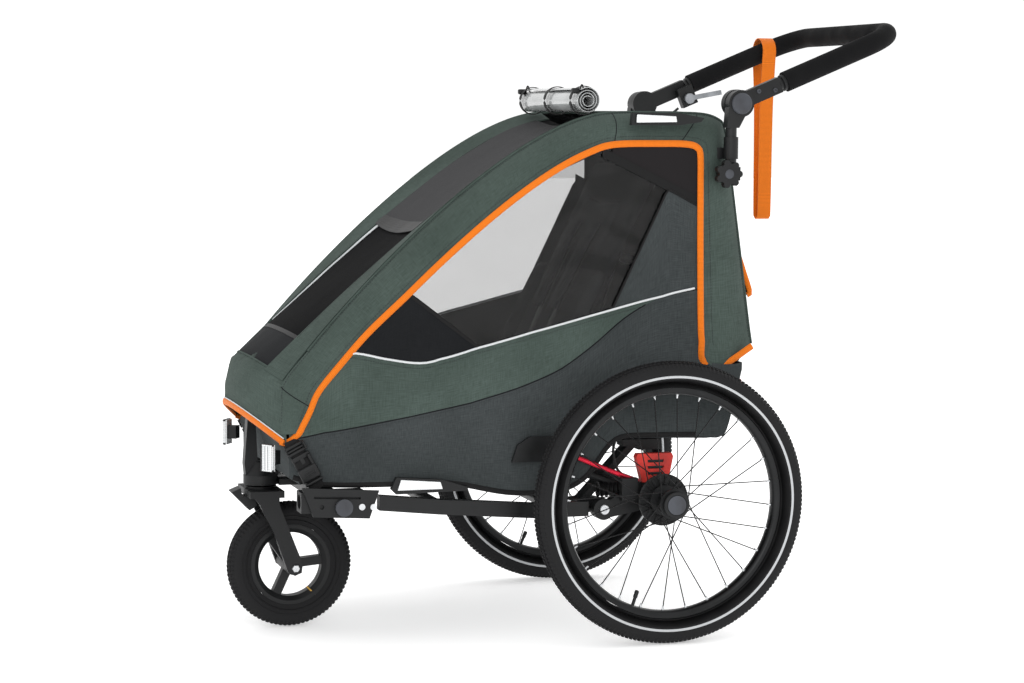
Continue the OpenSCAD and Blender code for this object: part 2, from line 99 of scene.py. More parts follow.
class Side(Enum):
    """The two sides of the trailer: left lies at -Y."""

    LEFT = -1
    RIGHT = 1

    @property
    def label(self) -> str:
        """Lower-case name used in the names of pieces."""
        return self.name.lower()


def at(x: float, y: float, z: float) -> Vector:
    """Turns millimetres from the ground under the rear axle into the row frame.

    Args:
        x: Distance behind the rear axle.
        y: Distance to the right of the middle plane.
        z: Height above the ground.

    Returns:
        The point in metres.
    """
    return AXLE + Vector((x, y, z)) * MM


def mix(a: float, b: float, t: float) -> float:
    """Straight blend from a to b."""
    return a + (b - a) * t


def bezier(points: Sequence[tuple[float, float]], t: float) -> Vector:
    """Point on a cubic Bezier curve in the side view.

    Args:
        points: The four control points, in millimetres.
        t: Place along the curve, from 0 to 1.

    Returns:
        The side view point (x, z).
    """
    weights = ((1 - t) ** 3, 3 * (1 - t) ** 2 * t, 3 * (1 - t) * t * t, t ** 3)
    return sum((Vector(p) * w for p, w in zip(points, weights)), Vector((0.0, 0.0)))


def along(points: Sequence[Vector], t: float) -> Vector:
    """Point on a smooth curve through a row of points, by length.

    Args:
        points: Points of any dimension.
        t: Place along the curve, from 0 to 1.

    Returns:
        The Catmull-Rom point there.
    """
    steps = [(b - a).length for a, b in zip(points, points[1:])]
    target = min(max(t, 0.0), 1.0) * sum(steps)
    index = 0
    while index < len(steps) - 1 and target > steps[index]:
        target -= steps[index]
        index += 1
    return rail(points, index + min(target / max(steps[index], 1e-9), 1.0))


def height_on(line: Sequence[tuple[float, float]], x: float) -> float:
    """Height of a smooth side view line at a distance x, in millimetres."""
    points = [Vector(p) for p in line]
    for index in range(len(points) - 1):
        if x <= points[index + 1].x or index == len(points) - 2:
            share = (x - points[index].x) / (points[index + 1].x - points[index].x)
            return rail(points, index + min(max(share, 0.0), 1.0)).y
    return points[-1].y


BODY_HALF_W = 258.0
NOSE_HALF_W = 200.0
CREST_Y = 200.0
PIPE_CTRL = ((-624, 446), (-480, 605), (-230, 850), (-86, 875))
CREST_CTRL = ((-664, 465), (-520, 650), (-240, 925), (-66, 931))
CURVE_T = [i / 10 for i in range(11)]
PIPE_FRONT = [Vector(p) for p in ((-638, 378), (-621, 414), (-606, 450), (-574, 492))]
PIPE_FRONT += [bezier(PIPE_CTRL, t) for t in CURVE_T[2:]]
CREST_FRONT = [Vector(p) for p in ((-668, 376), (-668, 425))]
CREST_FRONT += [bezier(CREST_CTRL, t) for t in CURVE_T]
PIPE_REAR = [Vector(p) for p in ((0, 877), (50, 876), (70, 870), (76, 856), (77, 804), (78, 700), (81, 553),
                                 (85, 512))]
CREST_REAR = [Vector(p) for p in ((20, 931), (97, 930), (132, 920), (143, 904), (153, 850), (172, 720), (195, 559),
                                  (202, 516))]
BELT = ((-655, 378), (-642, 412), (-624, 444), (-578, 494), (-560, 511), (-548, 515), (-490, 504), (-434, 497),
        (-400, 503), (-333, 521), (-235, 546), (-115, 576), (6, 605), (72, 620))
HEM = ((-655, 300), (-600, 286), (-385, 286), (-265, 264), (-170, 268), (-130, 290), (-92, 340), (-66, 357), (0, 358),
       (72, 357))
SPLIT = ((-655, 366), (-602, 378), (-471, 403), (-346, 427), (-256, 452), (-181, 482), (-120, 524), (-60, 572),
         (0, 604), (72, 618))


def rail(points: Sequence[Vector], place: float) -> Vector:
    """Point on a smooth curve through a row of points, by index.

    Args:
        points: Points of any dimension.
        place: Index along the row; it may be a fraction.

    Returns:
        The Catmull-Rom point there.
    """
    index = min(int(place), len(points) - 2)
    s = place - index
    p1, p2 = points[index], points[index + 1]
    p0 = points[index - 1] if index else p1 * 2 - p2
    p3 = points[index + 2] if index + 2 < len(points) else p2 * 2 - p1
    return 0.5 * (p1 * 2 + (p2 - p0) * s + (p0 * 2 - p1 * 5 + p2 * 4 - p3) * s * s
                  + (p1 * 3 - p0 - p2 * 3 + p3) * s ** 3)


def half_w(x: float) -> float:
    """Half width of the side cloth at a distance x, in millimetres."""
    if x > -450:
        return BODY_HALF_W
    return BODY_HALF_W + (NOSE_HALF_W - BODY_HALF_W) * ((x + 450) / -217) ** 1.3


PIPE_LINE = [(p.x, p.y) for p in PIPE_FRONT] + [(0, 877), (50, 876), (70, 870)]


# ---------------------------------------------------------------- finishes


def linear(colour: str) -> tuple[float, float, float, float]:
    """Turns an sRGB hex colour into a linear RGBA colour.

    Args:
        colour: Hex string such as "#4e5b54".

    Returns:
        Red, green, blue and alpha, linear.
    """
    channels = [int(colour[i:i + 2], 16) / 255 for i in (1, 3, 5)]
    return tuple(c / 12.92 if c <= 0.04045 else ((c + 0.055) / 1.055) ** 2.4 for c in channels) + (1.0,)


def add_node(tree: bpy.types.NodeTree, kind: str, inputs: dict | None = None, **settings: object) -> bpy.types.Node:
    """Adds a shader node, sets its fields, and fills or links its inputs.

    Args:
        tree: Node tree of the material.
        kind: Blender's name of the node type.
        inputs: Input name or index to a value or to another node's socket.
        **settings: Fields of the node itself.

    Returns:
        The new node.
    """
    node = tree.nodes.new(kind)
    for name, value in settings.items():
        setattr(node, name, value)
    for name, value in (inputs or {}).items():
        if isinstance(value, bpy.types.NodeSocket):
            tree.links.new(value, node.inputs[name])
        else:
            node.inputs[name].default_value = value
    return node


@dataclass(frozen=True)
class Finish:
    """A real surface and how it was made. build() gives its Blender material once."""

    name: str
    colour: str
    roughness: float = 0.5
    metallic: float = 0.0

    def build(self) -> bpy.types.Material:
        """Returns the finish's material, made on first use."""
        known = bpy.data.materials.get(self.name)
        if known:
            return known
        material = bpy.data.materials.new(self.name)
        material.use_nodes = True
        tree = material.node_tree
        shader = tree.nodes["Principled BSDF"]
        shader.inputs["Roughness"].default_value = self.roughness
        shader.inputs["Metallic"].default_value = self.metallic
        shader.inputs["Base Color"].default_value = linear(self.colour)
        self.paint(tree, shader)
        return material

    def paint(self, tree: bpy.types.NodeTree, shader: bpy.types.Node) -> None:
        """Adds the pattern of the finish to the shader."""

    def coords(self, tree: bpy.types.NodeTree, scale: tuple[float, float, float], uv: bool) -> bpy.types.NodeSocket:
        """Pattern coordinates in metres, scaled to a pattern's own size."""
        source = add_node(tree, "ShaderNodeTexCoord").outputs["UV" if uv else "Object"]
        return add_node(tree, "ShaderNodeMapping", {"Vector": source, "Scale": scale}).outputs[0]

    def noise(self, tree: bpy.types.NodeTree, size: tuple[float, float, float], uv: bool,
              detail: float = 2.0) -> bpy.types.NodeSocket:
        """Noise whose grain has the given size in metres."""
        vector = self.coords(tree, tuple(1 / s for s in size), uv)
        return add_node(tree, "ShaderNodeTexNoise", {"Vector": vector, "Scale": 1.0, "Detail": detail}).outputs["Fac"]

    def ramp(self, tree: bpy.types.NodeTree, value: bpy.types.NodeSocket, stops: Iterable[tuple[float, str]]
             ) -> bpy.types.NodeSocket:
        """Colours a value through a row of (place, hex colour) stops."""
        node = add_node(tree, "ShaderNodeValToRGB", {"Fac": value})
        for index, (place, colour) in enumerate(stops):
            element = node.color_ramp.elements[index] if index < 2 else node.color_ramp.elements.new(place)
            element.position = place
            element.color = linear(colour)
        return node.outputs["Color"]

    def bump(self, tree: bpy.types.NodeTree, shader: bpy.types.Node, height: bpy.types.NodeSocket,
             depth: float, strength: float = 0.5) -> None:
        """Gives the shader a relief of a depth in metres."""
        node = add_node(tree, "ShaderNodeBump", {"Height": height, "Distance": depth, "Strength": strength})
        tree.links.new(node.outputs["Normal"], shader.inputs["Normal"])


def shade(colour: str, factor: float) -> str:
    """The same hex colour made lighter or darker by a factor."""
    return "#" + "".join(f"{min(255, int(int(colour[i:i + 2], 16) * factor)):02x}" for i in (1, 3, 5))


@dataclass(frozen=True)
class MelangeCloth(Finish):
    """Heathered woven polyester: light and dark yarns run both ways, which gives a dry, faintly streaked face.

    The yarns are about 0.4 mm apart. They are drawn 1.6 mm wide so that the heather shows.
    """

    streak: float = 0.13
    follow: bool = True
    fuzz: float = 0.03

    def paint(self, tree: bpy.types.NodeTree, shader: bpy.types.Node) -> None:
        """Mixes warp and weft streaks into the colour and the relief."""
        weft = self.noise(tree, (0.022, 0.0016, 0.0016 if not self.follow else 1), self.follow, 3.0)
        warp = self.noise(tree, (0.0016, 0.026, 0.0016 if not self.follow else 1), self.follow, 3.0)
        both = add_node(tree, "ShaderNodeMix", {"Factor": 0.45, 2: weft, 3: warp}).outputs[0]
        tone = self.ramp(tree, both, ((0.36, shade(self.colour, 1 - self.streak)),
                                      (0.64, shade(self.colour, 1 + self.streak))))
        cloudy = self.noise(tree, (0.12, 0.12, 0.12), False, 1.0)
        fade = self.ramp(tree, cloudy, ((0.3, "#e2e3e2"), (0.7, "#ffffff")))
        worn = add_node(tree, "ShaderNodeMix", {"Factor": 1.0, 6: tone, 7: fade}, data_type="RGBA",
                        blend_type="MULTIPLY")
        tree.links.new(worn.outputs[2], shader.inputs["Base Color"])
        shader.inputs["Sheen Weight"].default_value = self.fuzz
        shader.inputs["Sheen Roughness"].default_value = 0.5
        shader.inputs["Specular IOR Level"].default_value = 0.04
        self.bump(tree, shader, both, 0.0005 if self.follow else 0.00015, 0.5)


@dataclass(frozen=True)
class MeshCloth(Finish):
    """Knitted polyester mesh: rows of small holes that let the dark inside through.

    The holes are about 1 mm apart and are drawn 2 mm apart so that they show.
    """

    pitch: float = 0.002
    cover: float = 1.0

    def paint(self, tree: bpy.types.NodeTree, shader: bpy.types.Node) -> None:
        """Draws the holes as dark dots with a soft rim."""
        vector = self.coords(tree, (1 / self.pitch, 1 / self.pitch, 1), True)
        dots = add_node(tree, "ShaderNodeTexVoronoi", {"Vector": vector, "Scale": 1.0, "Randomness": 0.15},
                        voronoi_dimensions="2D").outputs["Distance"]
        tone = self.ramp(tree, dots, ((0.12, shade(self.colour, 0.55)), (0.4, self.colour)))
        tree.links.new(tone, shader.inputs["Base Color"])
        shader.inputs["Alpha"].default_value = self.cover
        shader.inputs["Specular IOR Level"].default_value = 0.03
        self.bump(tree, shader, dots, 0.0004, 0.4)


@dataclass(frozen=True)
class Webbing(Finish):
    """Woven nylon tape: cross ribs about 2 mm apart with rolled edges, and a soft satin highlight on each rib that is
    painted into the colour.
    """

    rib: float = 0.0022

    def paint(self, tree: bpy.types.NodeTree, shader: bpy.types.Node) -> None:
        """Draws the ribs across the tape as painted highlight and shade in the colour (lighter crests, darker
        grooves), with a fine yarn noise.
        """
        vector = self.coords(tree, (1 / self.rib, 1 / 0.0016, 1), True)
        ribs = add_node(tree, "ShaderNodeTexWave", {"Vector": vector, "Scale": 0.3183, "Distortion": 0.4,
                                                    "Detail": 1.0},
                        wave_type="BANDS", bands_direction="X").outputs["Fac"]
        yarn = self.noise(tree, (0.004, 0.0012, 1), True)
        both = add_node(tree, "ShaderNodeMix", {"Factor": 0.35, 2: ribs, 3: yarn}).outputs[0]
        # Painted highlight and shade: the rib bands lighten the crests and darken between the ribs; the yarn noise is
        # real tone.
        tone = self.ramp(tree, both, ((0.1, shade(self.colour, 0.84)), (0.75, shade(self.colour, 1.06))))
        tree.links.new(tone, shader.inputs["Base Color"])
        shader.inputs["Sheen Weight"].default_value = 0.08
        shader.inputs["Specular IOR Level"].default_value = 0.15
        self.bump(tree, shader, both, 0.0006, 0.6)


@dataclass(frozen=True)
class Moulded(Finish):
    """Moulded or coated hard part: an even spark-eroded grain, faint flow marks and duller rubbed patches."""

    grain: float = 0.0012
    depth: float = 0.00008
    mottle: float = 0.16
    shine: float = 0.3

    def paint(self, tree: bpy.types.NodeTree, shader: bpy.types.Node) -> None:
        """Adds grain relief, patchy roughness and a little tone."""
        grain = self.noise(tree, (self.grain,) * 3, False, 2.0)
        patch = self.noise(tree, (0.035, 0.035, 0.05), False, 3.0)
        tone = self.ramp(tree, patch, ((0.3, shade(self.colour, 1 - self.mottle)),
                                       (0.7, shade(self.colour, 1 + self.mottle))))
        tree.links.new(tone, shader.inputs["Base Color"])
        rough = add_node(tree, "ShaderNodeMapRange", {0: patch, 1: 0.3, 2: 0.7, 3: self.roughness * 0.86,
                                                      4: min(1.0, self.roughness * 1.14)})
        tree.links.new(rough.outputs[0], shader.inputs["Roughness"])
        shader.inputs["Specular IOR Level"].default_value = self.shine
        self.bump(tree, shader, grain, self.depth, 0.6)


@dataclass(frozen=True)
class ClearFilm(Finish):
    """Flexible clear PVC film: smooth and glossy with slow waves that bend the reflections."""

    cover: float = 0.2

    def paint(self, tree: bpy.types.NodeTree, shader: bpy.types.Node) -> None:
        """Makes the film see-through, with waves in its gloss."""
        shader.inputs["Alpha"].default_value = self.cover
        shader.inputs["Coat Weight"].default_value = 0.6
        shader.inputs["Coat Roughness"].default_value = 0.06
        waves = self.noise(tree, (0.09, 0.09, 0.14), False, 2.0)
        tone = self.ramp(tree, waves, ((0.35, shade(self.colour, 0.92)), (0.65, shade(self.colour, 1.08))))
        tree.links.new(tone, shader.inputs["Base Color"])
        self.bump(tree, shader, waves, 0.004, 0.35)


@dataclass(frozen=True)
class Prism(Finish):
    """Moulded clear reflector: rows of small prisms under a polished face, which flash silver; the flash is painted
    into the colour.
    """

    def paint(self, tree: bpy.types.NodeTree, shader: bpy.types.Node) -> None:
        """Draws the real prism cells and paints them as bright and grey facets, a painted reflection."""
        vector = self.coords(tree, (1 / 0.003,) * 3, False)
        cells = add_node(tree, "ShaderNodeTexVoronoi", {"Vector": vector, "Scale": 1.0,
                                                        "Randomness": 0.1}).outputs["Distance"]
        # Painted reflection: darker cell centres and brighter cell edges stand for the prisms' silver flash.
        tone = self.ramp(tree, cells, ((0.1, shade(self.colour, 0.72)), (0.6, self.colour)))
        tree.links.new(tone, shader.inputs["Base Color"])
        shader.inputs["Coat Weight"].default_value = 0.8
        self.bump(tree, shader, cells, 0.0006, 0.4)


GREEN = MelangeCloth("woven_polyester_green_melange", "#46514c", 0.85, streak=0.11)
SLATE = MelangeCloth("woven_polyester_slate_melange", "#3d4142", 0.86, streak=0.12)
CHARCOAL = MelangeCloth("woven_polyester_charcoal", "#202123", 0.88, streak=0.08)
SEAT_CLOTH = MelangeCloth("woven_polyester_seat_black", "#151618", 0.88, streak=0.2, follow=False)
SEAT_GREY = MelangeCloth("brushed_polyester_seat_grey", "#28292b", 0.9, streak=0.1, follow=False)
SUN_MESH = MeshCloth("knitted_mesh_sun_grey", "#4a4a4b", 0.85)
BUG_MESH = MeshCloth("knitted_mesh_black", "#161617", 0.8, pitch=0.0024)
VENT_MESH = MeshCloth("knitted_mesh_vent_black", "#282627", 0.8)
ORANGE = Webbing("woven_nylon_tape_orange", "#db7011", 0.6)
BLACK_WEB = Webbing("woven_nylon_tape_black", "#121213", 0.6)
SILVER_TAPE = Webbing("reflective_tape_silver", "#d3d6d8", 0.35, 0.2, rib=0.0016)
POWDER = Moulded("powder_coated_aluminium_black", "#151617", 0.42, 0.0, grain=0.0009)
ABS_BLACK = Moulded("moulded_nylon_black", "#131415", 0.48)
ABS_GREY = Moulded("moulded_abs_dark_grey", "#3e4045", 0.45, grain=0.0006)
RUBBER = Moulded("moulded_tyre_rubber", "#1c1c1d", 0.8, grain=0.0016, depth=0.0002, shine=0.2)
FOAM = Moulded("closed_cell_grip_foam", "#121213", 0.85, grain=0.0011, depth=0.0003, mottle=0.1, shine=0.12)
RIM_PAINT = Moulded("anodised_rim_black", "#1a1b1c", 0.3, 0.6, grain=0.004, depth=0.00002, shine=0.5)
SPOKE = Moulded("black_oxide_spoke_steel", "#161617", 0.35, 0.7, depth=0.00001, shine=0.5)
NICKEL = Moulded("nickel_plated_brass", "#c9cbcd", 0.28, 1.0, depth=0.00001, mottle=0.08, shine=0.5)
BRASS = Moulded("turned_brass", "#c39a4e", 0.3, 1.0, depth=0.00001, shine=0.5)
ALLOY = Moulded("cast_aluminium_grey", "#8b8e92", 0.42, 0.7, grain=0.0007, shine=0.5)
RED_RUBBER = Moulded("moulded_polyurethane_red", "#b8322b", 0.5, grain=0.001)
RED_ANODISED = Moulded("anodised_aluminium_red", "#c4263a", 0.25, 0.85, depth=0.00001, shine=0.5)
CABLE = Moulded("pvc_cable_sheath_black", "#151516", 0.4, depth=0.00002)
WINDOW = ClearFilm("clear_pvc_window", "#151413", 0.12, cover=0.2)
RAIN_FILM = ClearFilm("clear_pvc_rain_cover", "#b6b8b8", 0.2, cover=0.93)
REFLECTOR = Prism("moulded_prism_reflector", "#e6e8e9", 0.12)
CLEAR_RIB = Prism("moulded_prism_reflector_grey", "#8f9294", 0.15)
RED_LENS = Prism("moulded_prism_reflector_red", "#b3202c", 0.15)


# ---------------------------------------------------------------- shaping


def pick(*objects: bpy.types.Object) -> None:
    """Selects only these objects and makes the first one active."""
    bpy.ops.object.select_all(action="DESELECT")
    for item in objects:
        item.select_set(True)
    bpy.context.view_layer.objects.active = objects[0]


def edit(obj: bpy.types.Object, *steps: Callable[[], object]) -> None:
    """Runs edit mode operators on the whole of an object's mesh."""
    pick(obj)
    bpy.ops.object.mode_set(mode="EDIT")
    bpy.ops.mesh.select_all(action="SELECT")
    for step in steps:
        step()
    bpy.ops.object.mode_set(mode="OBJECT")


def apply(obj: bpy.types.Object, kind: str, **settings: object) -> None:
    """Adds one modifier and applies it."""
    pick(obj)
    modifier = obj.modifiers.new(kind.title(), kind)
    for name, value in settings.items():
        setattr(modifier, name, value)
    bpy.ops.object.modifier_apply(modifier=modifier.name)


def smooth(obj: bpy.types.Object, angle: float = 40.0) -> bpy.types.Object:
    """Shades an object smooth up to an edge angle in degrees."""
    pick(obj)
    bpy.ops.object.shade_smooth_by_angle(angle=math.radians(angle))
    return obj


def cloth(name: str, surface: Callable[[float, float], Vector], steps: tuple[int, int], size: tuple[float, float],
          thick: float, out: Callable[[Vector], Vector], finish: Finish, lining: Finish | None = None
          ) -> bpy.types.Object:
    """Lays a sheet of cloth over a curved surface and gives it its thickness.

    Args:
        name: Name of the piece.
        surface: Gives the point in metres for u and v from 0 to 1.
        steps: Number of cells along u and v.
        size: Real size of the sheet along u and v in metres, for the weave.
        thick: Thickness in millimetres, laid to the inner side.
        out: Gives the outward direction near a point.
        finish: Finish of the cloth.
        lining: Finish of its inner face, where that differs.

    Returns:
        The finished piece.
    """
    bpy.ops.object.select_all(action="DESELECT")
    bpy.ops.mesh.primitive_grid_add(x_subdivisions=steps[0], y_subdivisions=steps[1], size=1, calc_uvs=True)
    obj = bpy.context.object
    obj.name = obj.data.name = name
    mesh = obj.data
    for loop in mesh.uv_layers[0].data:
        loop.uv = (loop.uv[0] * size[0], loop.uv[1] * size[1])
    for vertex in mesh.vertices:
        vertex.co = surface(vertex.co.x + 0.5, vertex.co.y + 0.5)
    mesh.update()
    facing = sum(p.normal.dot(out(p.center)) * p.area for p in mesh.polygons)
    if facing < 0:
        mesh.flip_normals()
    mesh.materials.clear()
    mesh.materials.append(finish.build())
    mesh.materials.append((lining or finish).build())
    area = sum(polygon.area for polygon in mesh.polygons)
    apply(obj, "SOLIDIFY", thickness=thick * MM, offset=-1.0, use_even_offset=False, material_offset=1)
    wide = max(size[1], 0.011)
    long = max(size[0], area / wide, 0.011)
    return smooth(obj, 60)


def cord_like(name: str, path: Sequence[Vector], across: float, high: float, face: Vector, finish: Finish,
              sides: int = 10, closed: bool = False, cuts: int = 0) -> bpy.types.Object:
    """Sweeps an oval section along a path: a piping, strap, cable or tube.

    Args:
        name: Name of the piece.
        path: Points in metres.
        across: Width of the section in millimetres.
        high: Thickness of the section along the facing direction, in millimetres.
        face: Direction that the flat side faces.
        finish: Finish of the piece.
        sides: Sides of the section.
        closed: True for a ring.
        cuts: Number of steps along the path, or 0 to use its own points.

    Returns:
        The finished piece.
    """
    points = [along(path, i / cuts) for i in range(cuts + 1)] if cuts else list(path)
    count = len(points) - 1
    length = sum((b - a).length for a, b in zip(points, points[1:]))
    bpy.ops.object.select_all(action="DESELECT")
    bpy.ops.mesh.primitive_grid_add(x_subdivisions=count, y_subdivisions=sides, size=1, calc_uvs=True)
    obj = bpy.context.object
    obj.name = obj.data.name = name
    mesh = obj.data
    for loop in mesh.uv_layers[0].data:
        loop.uv = (loop.uv[0] * length, loop.uv[1] * across * 2.5 * MM)
    frames = []
    for i, point in enumerate(points):
        ahead = points[(i + 1) % count] if closed else points[min(i + 1, count)]
        behind = points[(i - 1) % count] if closed else points[max(i - 1, 0)]
        tangent = (ahead - behind).normalized()
        side = tangent.cross(face).normalized()
        frames.append((point, side, side.cross(tangent).normalized()))
    for vertex in mesh.vertices:
        point, side, normal = frames[min(count, round((vertex.co.x + 0.5) * count))]
        turn = TAU * (vertex.co.y + 0.5)
        vertex.co = point + (side * math.cos(turn) * across + normal * math.sin(turn) * high) * MM / 2
    mesh.update()
    edit(obj, lambda: bpy.ops.mesh.remove_doubles(threshold=1e-6),
         lambda: bpy.ops.mesh.select_all(action="DESELECT"),
         lambda: bpy.ops.mesh.select_non_manifold(),
         lambda: bpy.ops.mesh.fill_holes(sides=0),
         lambda: bpy.ops.mesh.select_all(action="SELECT"),
         lambda: bpy.ops.mesh.normals_make_consistent(inside=False))
    mesh.materials.clear()
    mesh.materials.append(finish.build())
    return smooth(obj, 50)


def held_cord(name: str, path: Sequence[Vector], diameter: float, body: str) -> bpy.types.Object:
    """Runs a short cable or hose that the object holds at both ends.

    Args:
        name: Name of the piece.
        path: Points in metres.
        diameter: Diameter in millimetres.
        body: Body that carries it.

    Returns:
        The finished piece.
    """
    steps = 30
    route = [along(path, i / steps) for i in range(steps + 1)]
    obj = cord_like(name, route, diameter, diameter, Vector((0, 1, 0)), CABLE)
    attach(obj, body)
    tuple(route[0])
    sum((b - a).length for a, b in zip(route, route[1:]))
    [tuple(p) for p in route]
    return obj


def lathe(name: str, profile: Sequence[tuple[float, float]], centre: Vector, axis: Vector, finish: Finish,
          steps: int = 96, closed: bool = True) -> bpy.types.Object:
    """Spins a profile round an axis.

    Args:
        name: Name of the piece.
        profile: (radius, distance along the axis) in millimetres, in order.
        centre: Centre of the axis in metres.
        axis: Direction of the axis.
        finish: Finish of the piece.
        steps: Steps round the axis.
        closed: True where the profile is a closed outline.

    Returns:
        The finished piece.
    """
    bpy.ops.object.select_all(action="DESELECT")
    bpy.ops.mesh.primitive_circle_add(vertices=len(profile), radius=1.0, fill_type="NOTHING")
    obj = bpy.context.object
    obj.name = obj.data.name = name
    mesh = obj.data
    for vertex, (radius, height) in zip(mesh.vertices, profile):
        vertex.co = Vector((radius, 0.0, height)) * MM
    if not closed:
        last, first = len(profile) - 1, 0
        pick(obj)
        bpy.ops.object.mode_set(mode="EDIT")
        bpy.ops.mesh.select_mode(type="EDGE")
        bpy.ops.mesh.select_all(action="DESELECT")
        bpy.ops.object.mode_set(mode="OBJECT")
        for edge in mesh.edges:
            edge.select = set(edge.vertices) == {first, last}
        bpy.ops.object.mode_set(mode="EDIT")
        bpy.ops.mesh.delete(type="EDGE_FACE")
        bpy.ops.mesh.select_mode(type="VERT")
        bpy.ops.object.mode_set(mode="OBJECT")
    edit(obj, lambda: bpy.ops.mesh.spin(steps=steps, angle=TAU, center=(0, 0, 0), axis=(0, 0, 1)),
         lambda: bpy.ops.mesh.select_all(action="SELECT"),
         lambda: bpy.ops.mesh.remove_doubles(threshold=1e-6),
         lambda: bpy.ops.mesh.normals_make_consistent(inside=False))
    turn = Vector((0, 0, 1)).rotation_difference(axis).to_matrix().to_4x4()
    mesh.transform(Matrix.Translation(centre) @ turn)
    mesh.materials.clear()
    mesh.materials.append(finish.build())
    return smooth(obj, 35)


def block(name: str, centre: Vector, size: tuple[float, float, float], finish: Finish, bevel: float = 1.5,
          turn: Matrix | None = None, taper: float = 1.0, segments: int = 3) -> bpy.types.Object:
    """A moulded block with rounded edges and, where asked, a drafted upper face.

    Args:
        name: Name of the piece.
        centre: Centre in metres.
        size: Size along X, Y and Z in millimetres.
        finish: Finish of the piece.
        bevel: Edge radius in millimetres.
        turn: Rotation about the centre.
        taper: Size of the upper face as a share of the lower one.
        segments: Steps of the edge rounding.

    Returns:
        The finished piece.
    """
    bpy.ops.object.select_all(action="DESELECT")
    bpy.ops.mesh.primitive_cube_add(size=1)
    obj = bpy.context.object
    obj.name = obj.data.name = name
    for vertex in obj.data.vertices:
        grow = taper if vertex.co.z > 0 else 1.0
        vertex.co = Vector((vertex.co.x * size[0] * grow, vertex.co.y * size[1] * grow, vertex.co.z * size[2])) * MM
    edit(obj, lambda: bpy.ops.mesh.bevel(offset=bevel * MM, segments=segments, affect="EDGES"))
    obj.data.transform(Matrix.Translation(centre) @ (turn or Matrix.Identity(4)))
    obj.data.materials.append(finish.build())
    return smooth(obj, 40)


def outline_plate(name: str, outline: Sequence[tuple[float, float]], y0: float, y1: float, finish: Finish,
                  bevel: float = 1.0) -> bpy.types.Object:
    """A plate cut to a side view outline and extruded across the trailer.

    Args:
        name: Name of the piece.
        outline: (x, z) points in millimetres.
        y0: First side of the plate in millimetres.
        y1: Second side of the plate in millimetres.
        finish: Finish of the piece.
        bevel: Edge radius in millimetres.

    Returns:
        The finished piece.
    """
    bpy.ops.object.select_all(action="DESELECT")
    bpy.ops.mesh.primitive_circle_add(vertices=len(outline), radius=1.0, fill_type="NGON")
    obj = bpy.context.object
    obj.name = obj.data.name = name
    for vertex, (x, z) in zip(obj.data.vertices, outline):
        vertex.co = at(x, y0, z)
    edit(obj, lambda: bpy.ops.mesh.extrude_region_move(TRANSFORM_OT_translate={"value": (0, (y1 - y0) * MM, 0)}),
         lambda: bpy.ops.mesh.select_all(action="SELECT"),
         lambda: bpy.ops.mesh.normals_make_consistent(inside=False))
    apply(obj, "BEVEL", width=bevel * MM, segments=2, limit_method="ANGLE", angle_limit=math.radians(35))
    obj.data.materials.append(finish.build())
    return smooth(obj, 40)


def join(name: str, parts: Sequence[bpy.types.Object]) -> bpy.types.Object:
    """Joins pieces of one finish into one object.

    Args:
        name: Name of the joined piece.
        parts: The pieces; the first one gives its material slots.

    Returns:
        The joined piece.
    """
    pick(*parts)
    bpy.ops.object.join()
    obj = bpy.context.object
    obj.name = obj.data.name = name
    return obj


def copies(obj: bpy.types.Object, name: str, places: Iterable[Matrix]) -> bpy.types.Object:
    """Repeats a small shape at many places and joins the copies.

    Args:
        obj: The shape, at the origin; it is used up.
        name: Name of the joined piece.
        places: Where each copy goes.

    Returns:
        The joined piece.
    """
    made = []
    for place in places:
        item = obj.copy()
        item.data = obj.data.copy()
        bpy.context.scene.collection.objects.link(item)
        item.data.transform(place)
        made.append(item)
    bpy.data.objects.remove(obj)
    return join(name, made)


def stitch_row(name: str, path: Sequence[Vector], face: Vector, finish: Finish, pitch: float = 4.0,
               width: float = 0.9) -> bpy.types.Object:
    """A row of separate raised stitches along a seam.

    Args:
        name: Name of the piece.
        path: Points of the seam in metres.
        face: Direction that the stitches stand out.
        finish: Finish of the thread.
        pitch: Distance from stitch to stitch in millimetres.
        width: Width of the thread in millimetres.

    Returns:
        The joined stitches.
    """
    length = sum((b - a).length for a, b in zip(path, path[1:]))
    count = max(2, int(length / (pitch * MM)))
    places = []
    for i in range(count):
        here = along(path, (i + 0.5) / count)
        ahead = along(path, min(1.0, (i + 1.0) / count))
        tangent = (ahead - here).normalized()
        side = tangent.cross(face).normalized()
        normal = side.cross(tangent)
        turn = Matrix((tangent, side, normal)).transposed().to_4x4()
        places.append(Matrix.Translation(here) @ turn)
    seed = block(name + "_seed", Vector((0, 0, 0)), (pitch * 0.62, width, width), finish, width * 0.3, segments=1)
    return copies(seed, name, places)


def finish_node(node: str, finish: Finish) -> None:
    """Gives a CAD node a finish in all its material slots."""
    obj = frame["nodes"][node]
    if not obj.data.materials:
        obj.data.materials.append(finish.build())
    for index in range(len(obj.data.materials)):
        obj.material_slots[index].material = finish.build()


# ---------------------------------------------------------------- sub-assemblies


def follow_fold(obj: bpy.types.Object) -> bpy.types.Object:
    """Bakes the cloth's transform into its mesh."""
    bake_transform(obj)
    return obj


